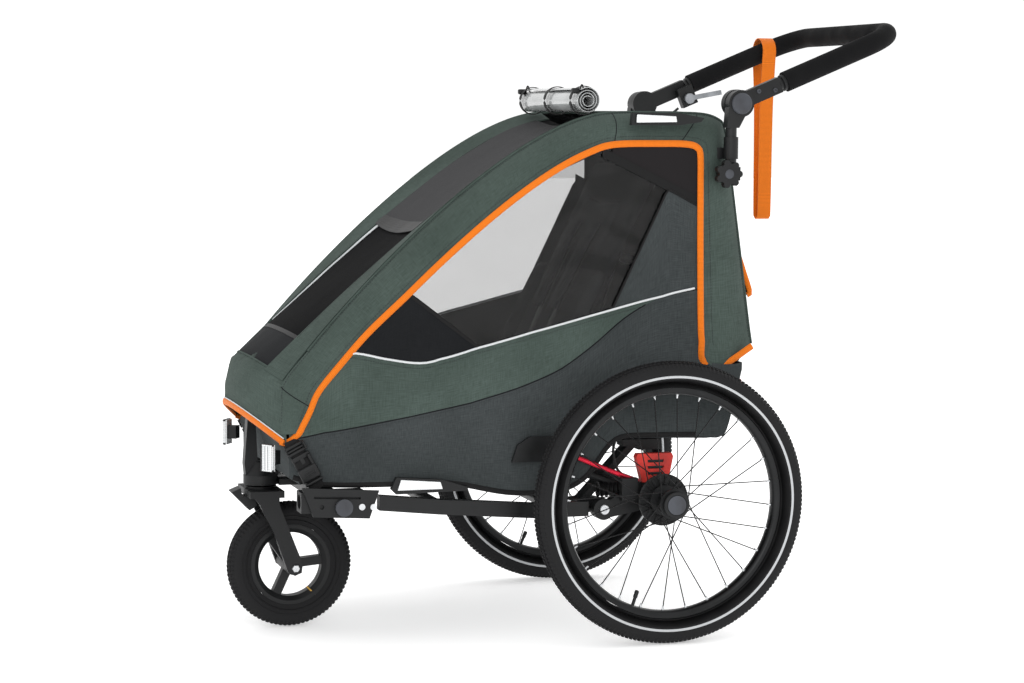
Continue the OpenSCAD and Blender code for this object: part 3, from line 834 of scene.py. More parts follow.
@dataclass
class SideCloth:
    """One side of the body: belt panels, window, rear quarter and their seams."""

    side: Side
    front_x: float = -654.0
    rear_x: float = 80.0
    seam_x: float = -2.0
    quarter_foot: tuple[float, float] = (-86.0, 586.0)
    quarter_top: tuple[float, float] = (16.0, 797.0)
    quarter_back: tuple[float, float] = (71.0, 768.0)
    tab_top: tuple[float, float] = (-447.0, 612.0)
    tab_foot: tuple[float, float] = (-326.0, 521.0)
    pieces: list[bpy.types.Object] = field(default_factory=list)

    def point(self, x: float, z: float, sink: float = 0.0, pull: float = 2.0) -> Vector:
        """Point on the side cloth, with a few slow pulls towards the inside.

        Args:
            x: Distance behind the axle in millimetres.
            z: Height in millimetres.
            sink: Distance behind the outer face in millimetres.
            pull: Depth of the slow pulls in millimetres.

        Returns:
            The point in metres.
        """
        wave = abs(noise.noise(Vector((x * 0.009 + z * 0.004, z * 0.011, self.side.value * 3.0)))) * pull
        return at(x, self.side.value * (half_w(x) - sink - wave), z)

    def panel(self, name: str, low: Callable[[float], float], high: Callable[[float], float], x0: float, x1: float,
              finish: Finish, sink: float = 0.0, thick: float = 2.0, steps: tuple[int, int] = (90, 24),
              lining: Finish | None = None, pull: float = 2.0) -> bpy.types.Object:
        """Cuts one panel between two side view lines.

        Args:
            name: Name of the piece, without its side.
            low: Lower line, height for a distance.
            high: Upper line, height for a distance.
            x0: Front end in millimetres.
            x1: Rear end in millimetres.
            finish: Finish of the panel.
            sink: Distance behind the outer face in millimetres.
            thick: Thickness in millimetres.
            steps: Cells along and up.
            lining: Finish of the inner face.
            pull: Depth of the slow pulls in millimetres.

        Returns:
            The panel, with its transform baked.
        """
        def surface(u: float, v: float) -> Vector:
            x = mix(x0, x1, u)
            return self.point(x, mix(low(x), high(x), v), sink, pull)

        tall = max(abs(high(mix(x0, x1, i / 8)) - low(mix(x0, x1, i / 8))) for i in range(9))
        size = ((x1 - x0) * MM, max(tall, 12.0) * MM)
        obj = cloth(f"{name}_{self.side.label}", surface, steps, size, thick,
                    lambda p: Vector((0, self.side.value, 0)), finish, lining)
        self.pieces.append(follow_fold(obj))
        return obj

    def quarter_edge(self, x: float) -> float:
        """Height of the upper edge of the rear quarter panel."""
        (x0, z0), (x1, z1), (x2, z2) = self.quarter_foot, self.quarter_top, self.quarter_back
        return mix(z0, z1, (x - x0) / (x1 - x0)) if x < x1 else mix(z1, z2, (x - x1) / (x2 - x1))

    def tab_edge(self, x: float) -> float:
        """Height of the upper edge of the black corner cloth."""
        (x0, z0), (x1, z1) = self.tab_top, self.tab_foot
        return min(height_on(PIPE_LINE, x) - 3, mix(z0, z1, (x - x0) / (x1 - x0)))

    def build(self) -> None:
        """Makes the panels, the window film, the seams and the rear corner."""
        belt = lambda x: height_on(BELT, x)
        split = lambda x: min(height_on(SPLIT, x), belt(x))
        pipe = lambda x: height_on(PIPE_LINE, x) - 2
        self.panel("belt_panel", split, belt, self.front_x, self.seam_x, GREEN, lining=CHARCOAL)
        self.panel("lower_panel", lambda x: height_on(HEM, x), split, self.front_x, self.rear_x, SLATE,
                   lining=CHARCOAL)
        self.panel("window_film", lambda x: belt(x) + 1, pipe, -546, 74, WINDOW, sink=4.0, thick=0.6, steps=(80, 40),
                   pull=3.0)
        self.panel("quarter_panel", belt, self.quarter_edge, self.quarter_foot[0], self.rear_x, SLATE, sink=0.6,
                   lining=CHARCOAL, steps=(40, 30))
        self.panel("corner_cloth", belt, self.tab_edge, -540, self.tab_foot[0], CHARCOAL, sink=0.8, steps=(50, 16))
        diagonal = lambda x: mix(862, 784, (x + 90) / 162)
        lead = -88 if self.side is Side.LEFT else 34
        self.panel("vent_mesh", diagonal, pipe, lead, self.rear_x, VENT_MESH, sink=1.2, steps=(30, 12))
        self.panel("vent_tape", lambda x: diagonal(x) - 17, diagonal, lead - 18, self.rear_x, BLACK_WEB, sink=0.2,
                   steps=(30, 4), thick=1.6)
        self.seams()
        self.rear_corner()
        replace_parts(self.pieces[0], "side_panels")
        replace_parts(self.pieces[2], "side_windows")

    def seams(self) -> None:
        """Sews the white piping along the belt and the stitches beside the seams."""
        y = Vector((0, self.side.value, 0))
        white = [self.point(x, height_on(BELT, x) + 2, -0.8) for x in range(-556, 75, 12)]
        piping = cord_like(f"belt_piping_{self.side.label}", white, 4.0, 3.4, y, SILVER_TAPE, 8)
        seam = [self.point(x, height_on(SPLIT, x), -0.2) for x in range(-640, -20, 14)]
        fold = cord_like(f"split_seam_{self.side.label}", seam, 2.4, 1.4, y, CHARCOAL, 6)
        edge = [self.point(x, self.quarter_edge(x), -0.2) for x in range(-84, 73, 6)]
        rib = cord_like(f"quarter_seam_{self.side.label}", edge, 4.0, 2.4, y, BLACK_WEB, 6)
        tab = [self.point(x, self.tab_edge(x), -0.4) for x in range(-500, -325, 8)]
        strap = cord_like(f"corner_binding_{self.side.label}", tab, 7.0, 2.4, y, BLACK_WEB, 6)
        hem = [self.point(x, height_on(HEM, x) + 3, -0.8) for x in range(-648, 75, 10)]
        binding = cord_like(f"hem_binding_{self.side.label}", hem, 9.0, 3.4, y, BLACK_WEB, 8)
        for row, line, drop in (("belt", BELT, -7), ("split", SPLIT, -5)):
            path = [self.point(x, height_on(line, x) + drop, -0.3)
                    for x in range(-600, -20 if row == "split" else 70, 12)]
            self.pieces.append(follow_fold(stitch_row(f"{row}_stitches_{self.side.label}", path, y, SLATE)))
        for obj in (piping, fold, rib, strap, binding):
            self.pieces.append(follow_fold(obj))

    def rear_corner(self) -> None:
        """Makes the cloth corner between the rear upright and the luggage bag."""
        lower = ((73, 357), (112, 352), (124, 355), (134, 366), (146, 410), (162, 474))
        upper = ((73, 505), (85, 494), (97, 488), (126, 484), (150, 484), (163, 486))
        obj = self.panel("corner_panel", lambda x: height_on(lower, x), lambda x: height_on(upper, x), 73, 162, SLATE,
                         sink=1.5, steps=(26, 26), lining=CHARCOAL)
        log.info("rear corner of the %s side is %s", self.side.label, obj.name)


@dataclass
class EdgeBand:
    """Padded edge band on one side, which covers the hoop tube, and its orange binding."""

    side: Side
    bulge: float = 15.0
    binding_w: float = 12.0
    inner: list[Vector] = field(default_factory=lambda: PIPE_FRONT + PIPE_REAR)
    outer: list[Vector] = field(default_factory=lambda: CREST_FRONT + CREST_REAR)

    def point(self, u: float, s: float, out: float = 0.0) -> Vector:
        """Point on the band.

        Args:
            u: Place along the band from 0 at the nose to 1 at the foot.
            s: Place across it, from 0 on the side to 1 at the crest.
            out: Distance above the cloth in millimetres.

        Returns:
            The point in metres.
        """
        place = u * (len(self.inner) - 1)
        a, b = rail(self.inner, place), rail(self.outer, place)
        across = (b - a).normalized()
        wrinkle = 0.8 * noise.noise(Vector((u * 60.0, s * 3.0, self.side.value)))
        rise = 4 * s * (1 - s) * self.bulge * min(1.0, (b - a).length / 60) + out + wrinkle * math.sin(math.pi * s)
        y = mix(-half_w(a.x), -CREST_Y, s) - 0.85 * rise
        foot = max(0.0, (u - 0.965) / 0.035) ** 2
        p = a.lerp(b, s) + across * rise * 0.5 - Vector((0, 33 * foot * math.sin(math.pi * s ** 0.5)))
        return at(p.x, -y * self.side.value, p.y)

    def build(self) -> None:
        """Makes the band, its binding and its two rows of stitches."""
        surface = lambda u, v: self.point(u, v)
        away = lambda p: p - at(-150, 0, 600)
        band = cloth(f"edge_band_{self.side.label}", surface, (220, 16), (2.05, 0.095), 3.0, away, GREEN, CHARCOAL)
        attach(band, "hoop")
        if self.side is Side.LEFT:
            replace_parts(band, "edge_bands")
        y = Vector((0, self.side.value, 0))
        foot = [Vector(p) for p in ((83, 500), (90, 489), (104, 483), (126, 480), (150, 492), (186, 514))]
        line = [rail(self.inner, i / 4) for i in range(4 * (len(self.inner) - 1) - 1)]
        path = [at(x, self.side.value * y0, z) for x, y0, z in ((-668, 198, 363), (-660, 202, 361), (-650, 204, 365))]
        path += [at(p.x, self.side.value * (half_w(p.x) + 1.0), p.y) for p in line]
        path += [at(p.x, self.side.value * mix(258.0, 242.0, i / 5), p.y) for i, p in enumerate(foot)]
        binding = cord_like(f"edge_binding_{self.side.label}", path, self.binding_w, 6.0, y, ORANGE, 12, cuts=260)
        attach(binding, "hoop")
        for row, s in (("low", 0.16), ("high", 0.93)):
            seam = [self.point(i / 150, s, 0.4) for i in range(3, 148)]
            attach(stitch_row(f"band_stitches_{row}_{self.side.label}", seam, y, SLATE, pitch=5.0), "hoop")
        for index, (u, lean) in enumerate(((0.60, -0.004), (0.683, 0.012), (0.062, 0.03))):
            seam = [self.point(u + lean * i / 12, i / 12, 0.3) for i in range(13)]
            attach(cord_like(f"band_seam_{index}_{self.side.label}", seam, 1.6, 1.0, y, CHARCOAL, 6), "hoop")
        ridge = [self.point(i / 150, 0.985, 1.0) for i in range(22, 151)]
        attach(cord_like(f"crest_piping_{self.side.label}", ridge, 4.2, 4.2, y, GREEN, 8), "hoop")


@dataclass
class FrontCover:
    """Lifting front cover: nose, patch, insect mesh, sun cover, zips and the rolled rain cover."""

    half: float = 194.5
    nose_t: float = 0.012
    patch_t: float = 0.105
    sun_t: float = 0.455
    end_t: float = 0.975
    margin: float = 0.7
    body: str = "front_cover_body"

    def side_line(self, t: float) -> Vector:
        """Side view line along the edge of the cover."""
        return Vector((-668.0, mix(465, 364, -t))) if t < 0 else bezier(CREST_CTRL, t)

    def middle_line(self, t: float) -> Vector:
        """Side view line along the middle of the cover, which is crowned."""
        if t < 0:
            return Vector((mix(-702, -719, min(1.0, -t * 1.6) ** 0.7), mix(489, 408, -t)))
        step = (bezier(CREST_CTRL, t + 0.01) - bezier(CREST_CTRL, t - 0.01)).normalized()
        crown = -24 + 66 * max(0.0, 1 - t / 0.6) ** 1.6
        return bezier(CREST_CTRL, t) + crown * Vector((-step.y, step.x))

    def point(self, t: float, s: float, out: float = 0.0) -> Vector:
        """Point on the cover.

        Args:
            t: Place up the cover, from -1 at its hem to 1 at the roof seam.
            s: Place across it, from -1 on the left to 1 on the right.
            out: Distance in front of the cloth in millimetres.

        Returns:
            The point in metres.
        """
        p = self.middle_line(t).lerp(self.side_line(t), abs(s) ** 2.3)
        q = (self.middle_line(t + 0.02) - self.middle_line(t - 0.02)).normalized()
        return at(p.x - q.y * out, self.half * s, p.y + q.x * out)

    def piece(self, name: str, t0: float, t1: float, finish: Finish, out: float, steps: tuple[int, int],
              s0: float = -1.0, s1: float = 1.0, ripple: float = 0.6, thick: float = 2.0,
              droop: float = 0.0) -> bpy.types.Object:
        """Cuts one part of the cover.

        Args:
            name: Name of the piece.
            t0: Lower end.
            t1: Upper end.
            finish: Finish of the cloth.
            out: Distance in front of the base cloth in millimetres.
            steps: Cells up and across.
            s0: Left end.
            s1: Right end.
            ripple: Depth of the small ripples in millimetres.
            thick: Thickness in millimetres.
            droop: How far the lower edge hangs in its middle, in units of t.

        Returns:
            The piece, riding on the cover.
        """
        def surface(u: float, v: float) -> Vector:
            s = mix(s0, s1, v)
            t = mix(t0 - droop * (1 - s * s) * (1 - u), t1, u)
            wave = ripple * noise.noise(Vector((t * 9.0, s * 4.0, out)))
            return self.point(t, s, out + wave)

        tall = (self.middle_line(t1) - self.middle_line(t0)).length * MM
        wide = max((s1 - s0) * self.half * MM, 0.012)
        lining = GREEN if finish is GREEN else CHARCOAL
        obj = cloth(name, surface, steps, (max(tall, 0.012), wide), thick, lambda p: p - at(-150, 0, 500), finish,
                    lining)
        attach(obj, self.body)
        return obj

    def build(self) -> None:
        """Makes all the parts of the cover."""
        nose = self.piece("cover_nose", -1.0, self.nose_t + 0.02, GREEN, 0.0, (40, 70), -1.06, 1.06)
        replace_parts(nose, "front_cover")
        self.piece("cover_patch", self.nose_t, self.patch_t, CHARCOAL, 0.2, (16, 60), -self.margin, self.margin)
        window = self.piece("cover_mesh", self.patch_t, self.end_t, BUG_MESH, -0.4, (90, 60), -self.margin,
                            self.margin)
        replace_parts(window, "window_panel")
        shade_cloth = self.piece("sun_cover_cloth", self.sun_t, 0.93, SUN_MESH, 3.0, (60, 50), -self.margin,
                                 self.margin, 1.4, droop=0.02)
        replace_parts(shade_cloth, "sun_cover")
        for side in Side:
            s = self.margin * side.value
            ends = sorted((0.985 * s, side.value * 1.0))
            self.piece(f"cover_margin_{side.label}", self.nose_t - 0.01, self.end_t, GREEN, 2.4, (120, 14), ends[0],
                       ends[1], 0.5, 3.0)
            self.piece(f"zip_tape_{side.label}", self.patch_t, 0.93, BLACK_WEB, 1.0, (80, 3), min(s, s * 1.04),
                       max(s, s * 1.04), 0.2, 1.2)
            teeth = [self.point(mix(self.patch_t, 0.93, i / 90), s * 1.02, 1.8) for i in range(91)]
            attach(stitch_row(f"zip_teeth_{side.label}", teeth, Vector((-0.7, 0, 0.7)), ABS_BLACK, 3.0, 2.2),
                    self.body)
        wide = self.margin
        self.piece("side_reflective_tape", self.patch_t + 0.02, self.sun_t, SILVER_TAPE, 1.4, (60, 4), 0.61, 0.665,
                   1.6, 0.8)
        self.piece("patch_tape", self.patch_t - 0.004, self.patch_t + 0.006, BLACK_WEB, 1.0, (3, 50), -wide, wide,
                   0.2, 1.4)
        self.piece("sun_hem", self.sun_t - 0.012, self.sun_t + 0.006, BLACK_WEB, 3.8, (4, 50), -wide, wide, 1.0, 1.4,
                   droop=0.02)
        crease = [self.point(self.nose_t, i / 30, 1.0) for i in range(-30, 31)]
        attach(cord_like("nose_piping", crease, 4.0, 3.0, Vector((-1, 0, 0)), GREEN, 8), self.body)
        hem = [self.point(-0.985, i / 40, 1.2) for i in range(-42, 43)]
        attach(cord_like("nose_binding", hem, 12.0, 6.0, Vector((-1, 0, 0.1)), ORANGE, 12), self.body)
        line = [self.point(-0.905, i / 40, 1.6) for i in range(-42, 43)]
        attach(cord_like("nose_white_piping", line, 2.2, 2.2, Vector((-1, 0, 0.1)), SILVER_TAPE, 6), self.body)
        self.roll()

    def roll(self) -> None:
        """Rolls up the rain cover and ties it with two straps and toggles."""
        def surface(u: float, v: float) -> Vector:
            turn = TAU * 3.2 * u
            radius = mix(8.0, 23.6, u) + 0.5 * noise.noise(Vector((v * 7.0, turn * 0.8, 0.0)))
            ends = 2.5 * math.sin(v * math.pi * 2) * (1 - u)
            return at(-106 + radius * math.cos(turn + 0.9), mix(-174, 174, v) + ends,
                      952 + radius * math.sin(turn + 0.9))

        middle = at(-106, 0, 952)
        film = cloth("rolled_rain_cover", surface, (170, 50), (0.34, 0.348), 1.0,
                     lambda p: Vector((p.x - middle.x, 0, p.z - middle.z)), RAIN_FILM)
        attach(film, self.body)
        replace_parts(film, "rain_roll")
        for y in (-150, 150, 0):
            ring = [at(-106 + 25.4 * math.cos(a), y, 952 + 25.4 * math.sin(a))
                    for a in (TAU * i / 40 for i in range(41))]
            tie = cord_like(f"roll_tie_{y + 200}", ring, 16.0, 1.8, Vector((0, 0, 1)), BLACK_WEB, 8, closed=True)
            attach(tie, self.body)
        for y in (-160, 160):
            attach(block(f"roll_toggle_{y + 200}", at(-124, y, 969), (16, 12, 10), ABS_BLACK, 3.0), self.body)
            end = [at(-120 + 2 * i, y - 12, 972 + 8 * math.sin(i)) for i in range(5)]
            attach(cord_like(f"roll_cord_{y + 200}", end, 3.0, 3.0, Vector((0, 1, 0)), CABLE, 6, cuts=12), self.body)


@dataclass
class RearAndRoof:
    """Roof panel, luggage cloth, rear flap and the floor tub."""

    half: float = 196.0

    def build(self) -> None:
        """Makes the roof, the back, the flap, the floor and the skirt under the nose."""
        roof_line = [Vector(p) for p in ((-57, 931), (-20, 933), (20, 934), (60, 933.5), (97, 931), (120, 927),
                                         (133, 918), (137, 910), (140, 895))]
        roof = self.sheet_on("roof_cloth", roof_line, self.half, GREEN, (40, 40), (0.215, 0.39), 0.6)
        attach(roof, "hoop")
        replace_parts(roof, "roof_panel")
        back_line = [Vector(p) for p in ((138, 898), (148, 850), (167, 720), (190, 559), (199, 512), (177, 477),
                                         (157, 392), (149, 352))]
        back = self.sheet_on("rear_cloth", back_line, self.half, GREEN, (80, 40), (0.59, 0.39), 2.5)
        follow_fold(back)
        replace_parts(back, "rear_bag")
        flap_line = [Vector(p) for p in ((160, 830), (174, 787), (189, 698), (204, 650), (219, 606), (214, 599))]
        flap = self.sheet_on("rear_flap_cloth", flap_line, 150.0, GREEN, (50, 30), (0.29, 0.30), 1.2)
        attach(flap, "hoop")
        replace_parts(flap, "rear_flap")
        for side in Side:
            edge = [at(p.x, side.value * 149, p.y) for p in (along(flap_line, i / 40) for i in range(41))]
            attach(cord_like(f"flap_binding_{side.label}", edge, 10.0, 4.0, Vector((0, side.value, 0)), ORANGE, 8),
                    "hoop")
            self.bag_side(side)
        low = [at(217, mix(-148, 148, i / 30), 602) for i in range(31)]
        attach(cord_like("flap_binding_low", low, 10.0, 4.0, Vector((0, 0, 1)), ORANGE, 8), "hoop")
        tub_line = [Vector(p) for p in ((166, 486), (160, 462), (148, 410), (140, 372), (132, 352))]
        follow_fold(self.sheet_on("tub_back", tub_line, 246.0, SLATE, (20, 40), (0.135, 0.492), 1.0))
        seam = [at(-58.5, mix(-196, 196, i / 30), 931.5) for i in range(31)]
        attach(cord_like("roof_seam", seam, 5.0, 3.0, Vector((0, 0, 1)), GREEN, 8), "hoop")
        self.floor()
        self.skirt()

    def sheet_on(self, name: str, line: Sequence[Vector], half: float, finish: Finish, steps: tuple[int, int],
                 size: tuple[float, float], slack: float) -> bpy.types.Object:
        """Lays a sheet across the trailer along a side view line, with some slack in its middle."""
        def surface(u: float, v: float) -> Vector:
            p = along(line, u)
            step = (along(line, min(1.0, u + 0.02)) - along(line, max(0.0, u - 0.02))).normalized()
            s = mix(-1.0, 1.0, v)
            sag = slack * (noise.noise(Vector((u * 3.0, s * 2.0, slack))) - 0.6) * (1 - s * s)
            return at(p.x + step.y * -sag, half * s, p.y + step.x * sag)

        return cloth(name, surface, steps, size, 2.4, lambda p: p - at(-150, 0, 550), finish, CHARCOAL)

    def bag_side(self, side: Side) -> None:
        """Makes the side of the luggage tub behind the wheel."""
        def surface(u: float, v: float) -> Vector:
            round_off = max(0.0, (u - 0.82) / 0.18)
            x = mix(-62, mix(130, 158, v), u)
            z = mix(mix(356, 350, u) + 14 * round_off ** 2.5, 478, v)
            return at(x, side.value * (249 - 2.0 * math.sin(math.pi * u) * (1 - v) - 9 * round_off ** 2), z)

        obj = cloth(f"tub_side_{side.label}", surface, (30, 20), (0.212, 0.118), 2.0,
                    lambda p: Vector((0, side.value, 0)), SLATE, CHARCOAL)
        follow_fold(obj)

    def floor(self) -> None:
        """Makes the floor of the tub and the turned-up foot well."""
        line = [Vector(p) for p in ((-620, 287), (-500, 285), (-385, 286), (-265, 272), (-150, 274), (-105, 324),
                                    (-72, 354), (40, 350), (126, 348))]
        tub = self.sheet_on("floor_cloth", line, 205.0, SLATE, (70, 20), (0.80, 0.41), 0.8)
        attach(tub, "chassis")
        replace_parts(tub, "floor_pan")

    def skirt(self) -> None:
        """Makes the lower front cloth under the nose."""
        def surface(u: float, v: float) -> Vector:
            s, f = mix(-1.0, 1.0, u), 1 - v
            k = abs(s) ** 2.4
            z = mix(352 + 34 * (1 - k), 292 - 6 * k, f)
            return at(mix(-672 + 30 * f, -662 + 28 * f, k) + 0.8 * math.sin(s * 12), (NOSE_HALF_W - 3) * s, z)

        obj = cloth("nose_skirt_cloth", surface, (60, 14), (0.42, 0.075), 2.4, lambda p: Vector((-1, 0, 0)), SLATE,
                    CHARCOAL)
        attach(obj, "chassis")
        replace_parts(obj, "nose_skirt")


@dataclass
class Seat:
    """Seat base, back rest, head pad and harness."""

    half: float = 186.0
    voxel: float = 0.007
    sim_frames: int = 20
    pressure: float = 4.0
    channel_reach: float = 7.0
    channel_depth: float = 3.5

    def pad(self, name: str, outline: Sequence[tuple[float, float]], y0: float, y1: float, finish: Finish,
            cap: float, channels: Sequence[tuple[Vector, Vector]] = ()) -> bpy.types.Object:
        """Makes a stuffed pad from an outline, swelled by a cloth simulation.

        Args:
            name: Name of the piece.
            outline: Side view outline in millimetres.
            y0: Left face.
            y1: Right face.
            finish: Finish of the cover.
            cap: Furthest that a point may move, in millimetres.
            channels: Sewn channels as (point, direction across) pairs.

        Returns:
            The pad.
        """
        obj = outline_plate(name, outline, y0, y1, finish, 4.0)
        apply(obj, "REMESH", mode="VOXEL", voxel_size=self.voxel)
        start = [vertex.co.copy() for vertex in obj.data.vertices]
        pick(obj)
        modifier = obj.modifiers.new("Cloth", "CLOTH")
        modifier.settings.use_pressure = True
        modifier.settings.uniform_pressure_force = self.pressure
        modifier.settings.effector_weights.gravity = 0.0
        modifier.point_cache.frame_start, modifier.point_cache.frame_end = 1, self.sim_frames
        scene = bpy.context.scene
        for frame_number in range(1, self.sim_frames + 1):
            scene.frame_set(frame_number)
        bpy.ops.object.modifier_apply(modifier=modifier.name)
        scene.frame_set(1)
        for vertex, place in zip(obj.data.vertices, start):
            move = vertex.co - place
            if move.length > cap * MM:
                vertex.co = place + move.normalized() * cap * MM
        apply(obj, "SMOOTH", factor=0.5, iterations=12)
        for middle, across in channels:
            for vertex in obj.data.vertices:
                near = abs((vertex.co - middle).dot(across)) / (self.channel_reach * MM)
                if near < 1:
                    vertex.co -= vertex.normal * self.channel_depth * MM * (1 - near) ** 1.5
        obj.data.materials.clear()
        obj.data.materials.append(finish.build())
        apply(obj, "SUBSURF", levels=1, render_levels=1)
        return smooth(obj, 80)

    def build(self) -> None:
        """Makes the cushions and lays the harness on them."""
        base = self.pad("seat_cushion", ((-414, 306), (-408, 344), (-392, 354), (-224, 342), (-206, 330), (-206, 296),
                                         (-380, 298)), -184, 184, SEAT_CLOTH, 6.0,
                        [(at(x, 0, 340), Vector((1, 0, 0))) for x in (-350, -285)])
        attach(base, "chassis")
        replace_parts(base, "seat_base")
        slope = Vector((0.42, 0, 0.9))
        back = self.pad("back_cushion", ((-186, 372), (-196, 384), (30, 842), (38, 846), (44, 840)), -178, 178,
                        SEAT_CLOTH, 6.0, [(at(x, 0, z), slope) for x, z in ((-135, 490), (-82, 600), (-28, 710))])
        follow_fold(back)
        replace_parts(back, "seat_back")
        head = self.pad("head_pad", ((-52, 650), (-66, 664), (-10, 774), (6, 778), (8, 768), (-38, 660)), -110, 110,
                        SEAT_GREY, 8.0)
        follow_fold(head)
        for side in Side:
            wing = self.pad(f"side_bolster_{side.label}", ((-176, 420), (-194, 436), (-92, 640), (-74, 650),
                                                           (-66, 640)),
                            min(side.value * 150, side.value * 184), max(side.value * 150, side.value * 184),
                            SEAT_GREY, 6.0)
            follow_fold(wing)
            self.harness(side)

    def harness(self, side: Side) -> None:
        """Lays one shoulder strap with its pad and its part of the buckle."""
        y = side.value * 52
        path = [at(*p) for p in ((-30, y, 742), (-60, y, 690), (-110, y * 0.9, 590), (-170, y * 0.7, 470),
                                 (-226, y * 0.35, 400), (-250, y * 0.15, 372))]
        follow_fold(cord_like(f"shoulder_strap_{side.label}", path, 25.0, 2.0, Vector((-0.9, 0, 0.4)), BLACK_WEB, 8,
                              cuts=50))
        pad = cord_like(f"shoulder_pad_{side.label}", [along(path, i / 20) + Vector((-0.008, 0, 0.004))
                                                       for i in range(1, 10)],
                        52.0, 14.0, Vector((-0.9, 0, 0.4)), SEAT_GREY, 14, cuts=30)
        follow_fold(pad)
        if side is Side.LEFT:
            plate = block("harness_buckle", at(-256, 0, 376), (16, 52, 44), ABS_BLACK, 5.0)
            follow_fold(plate)


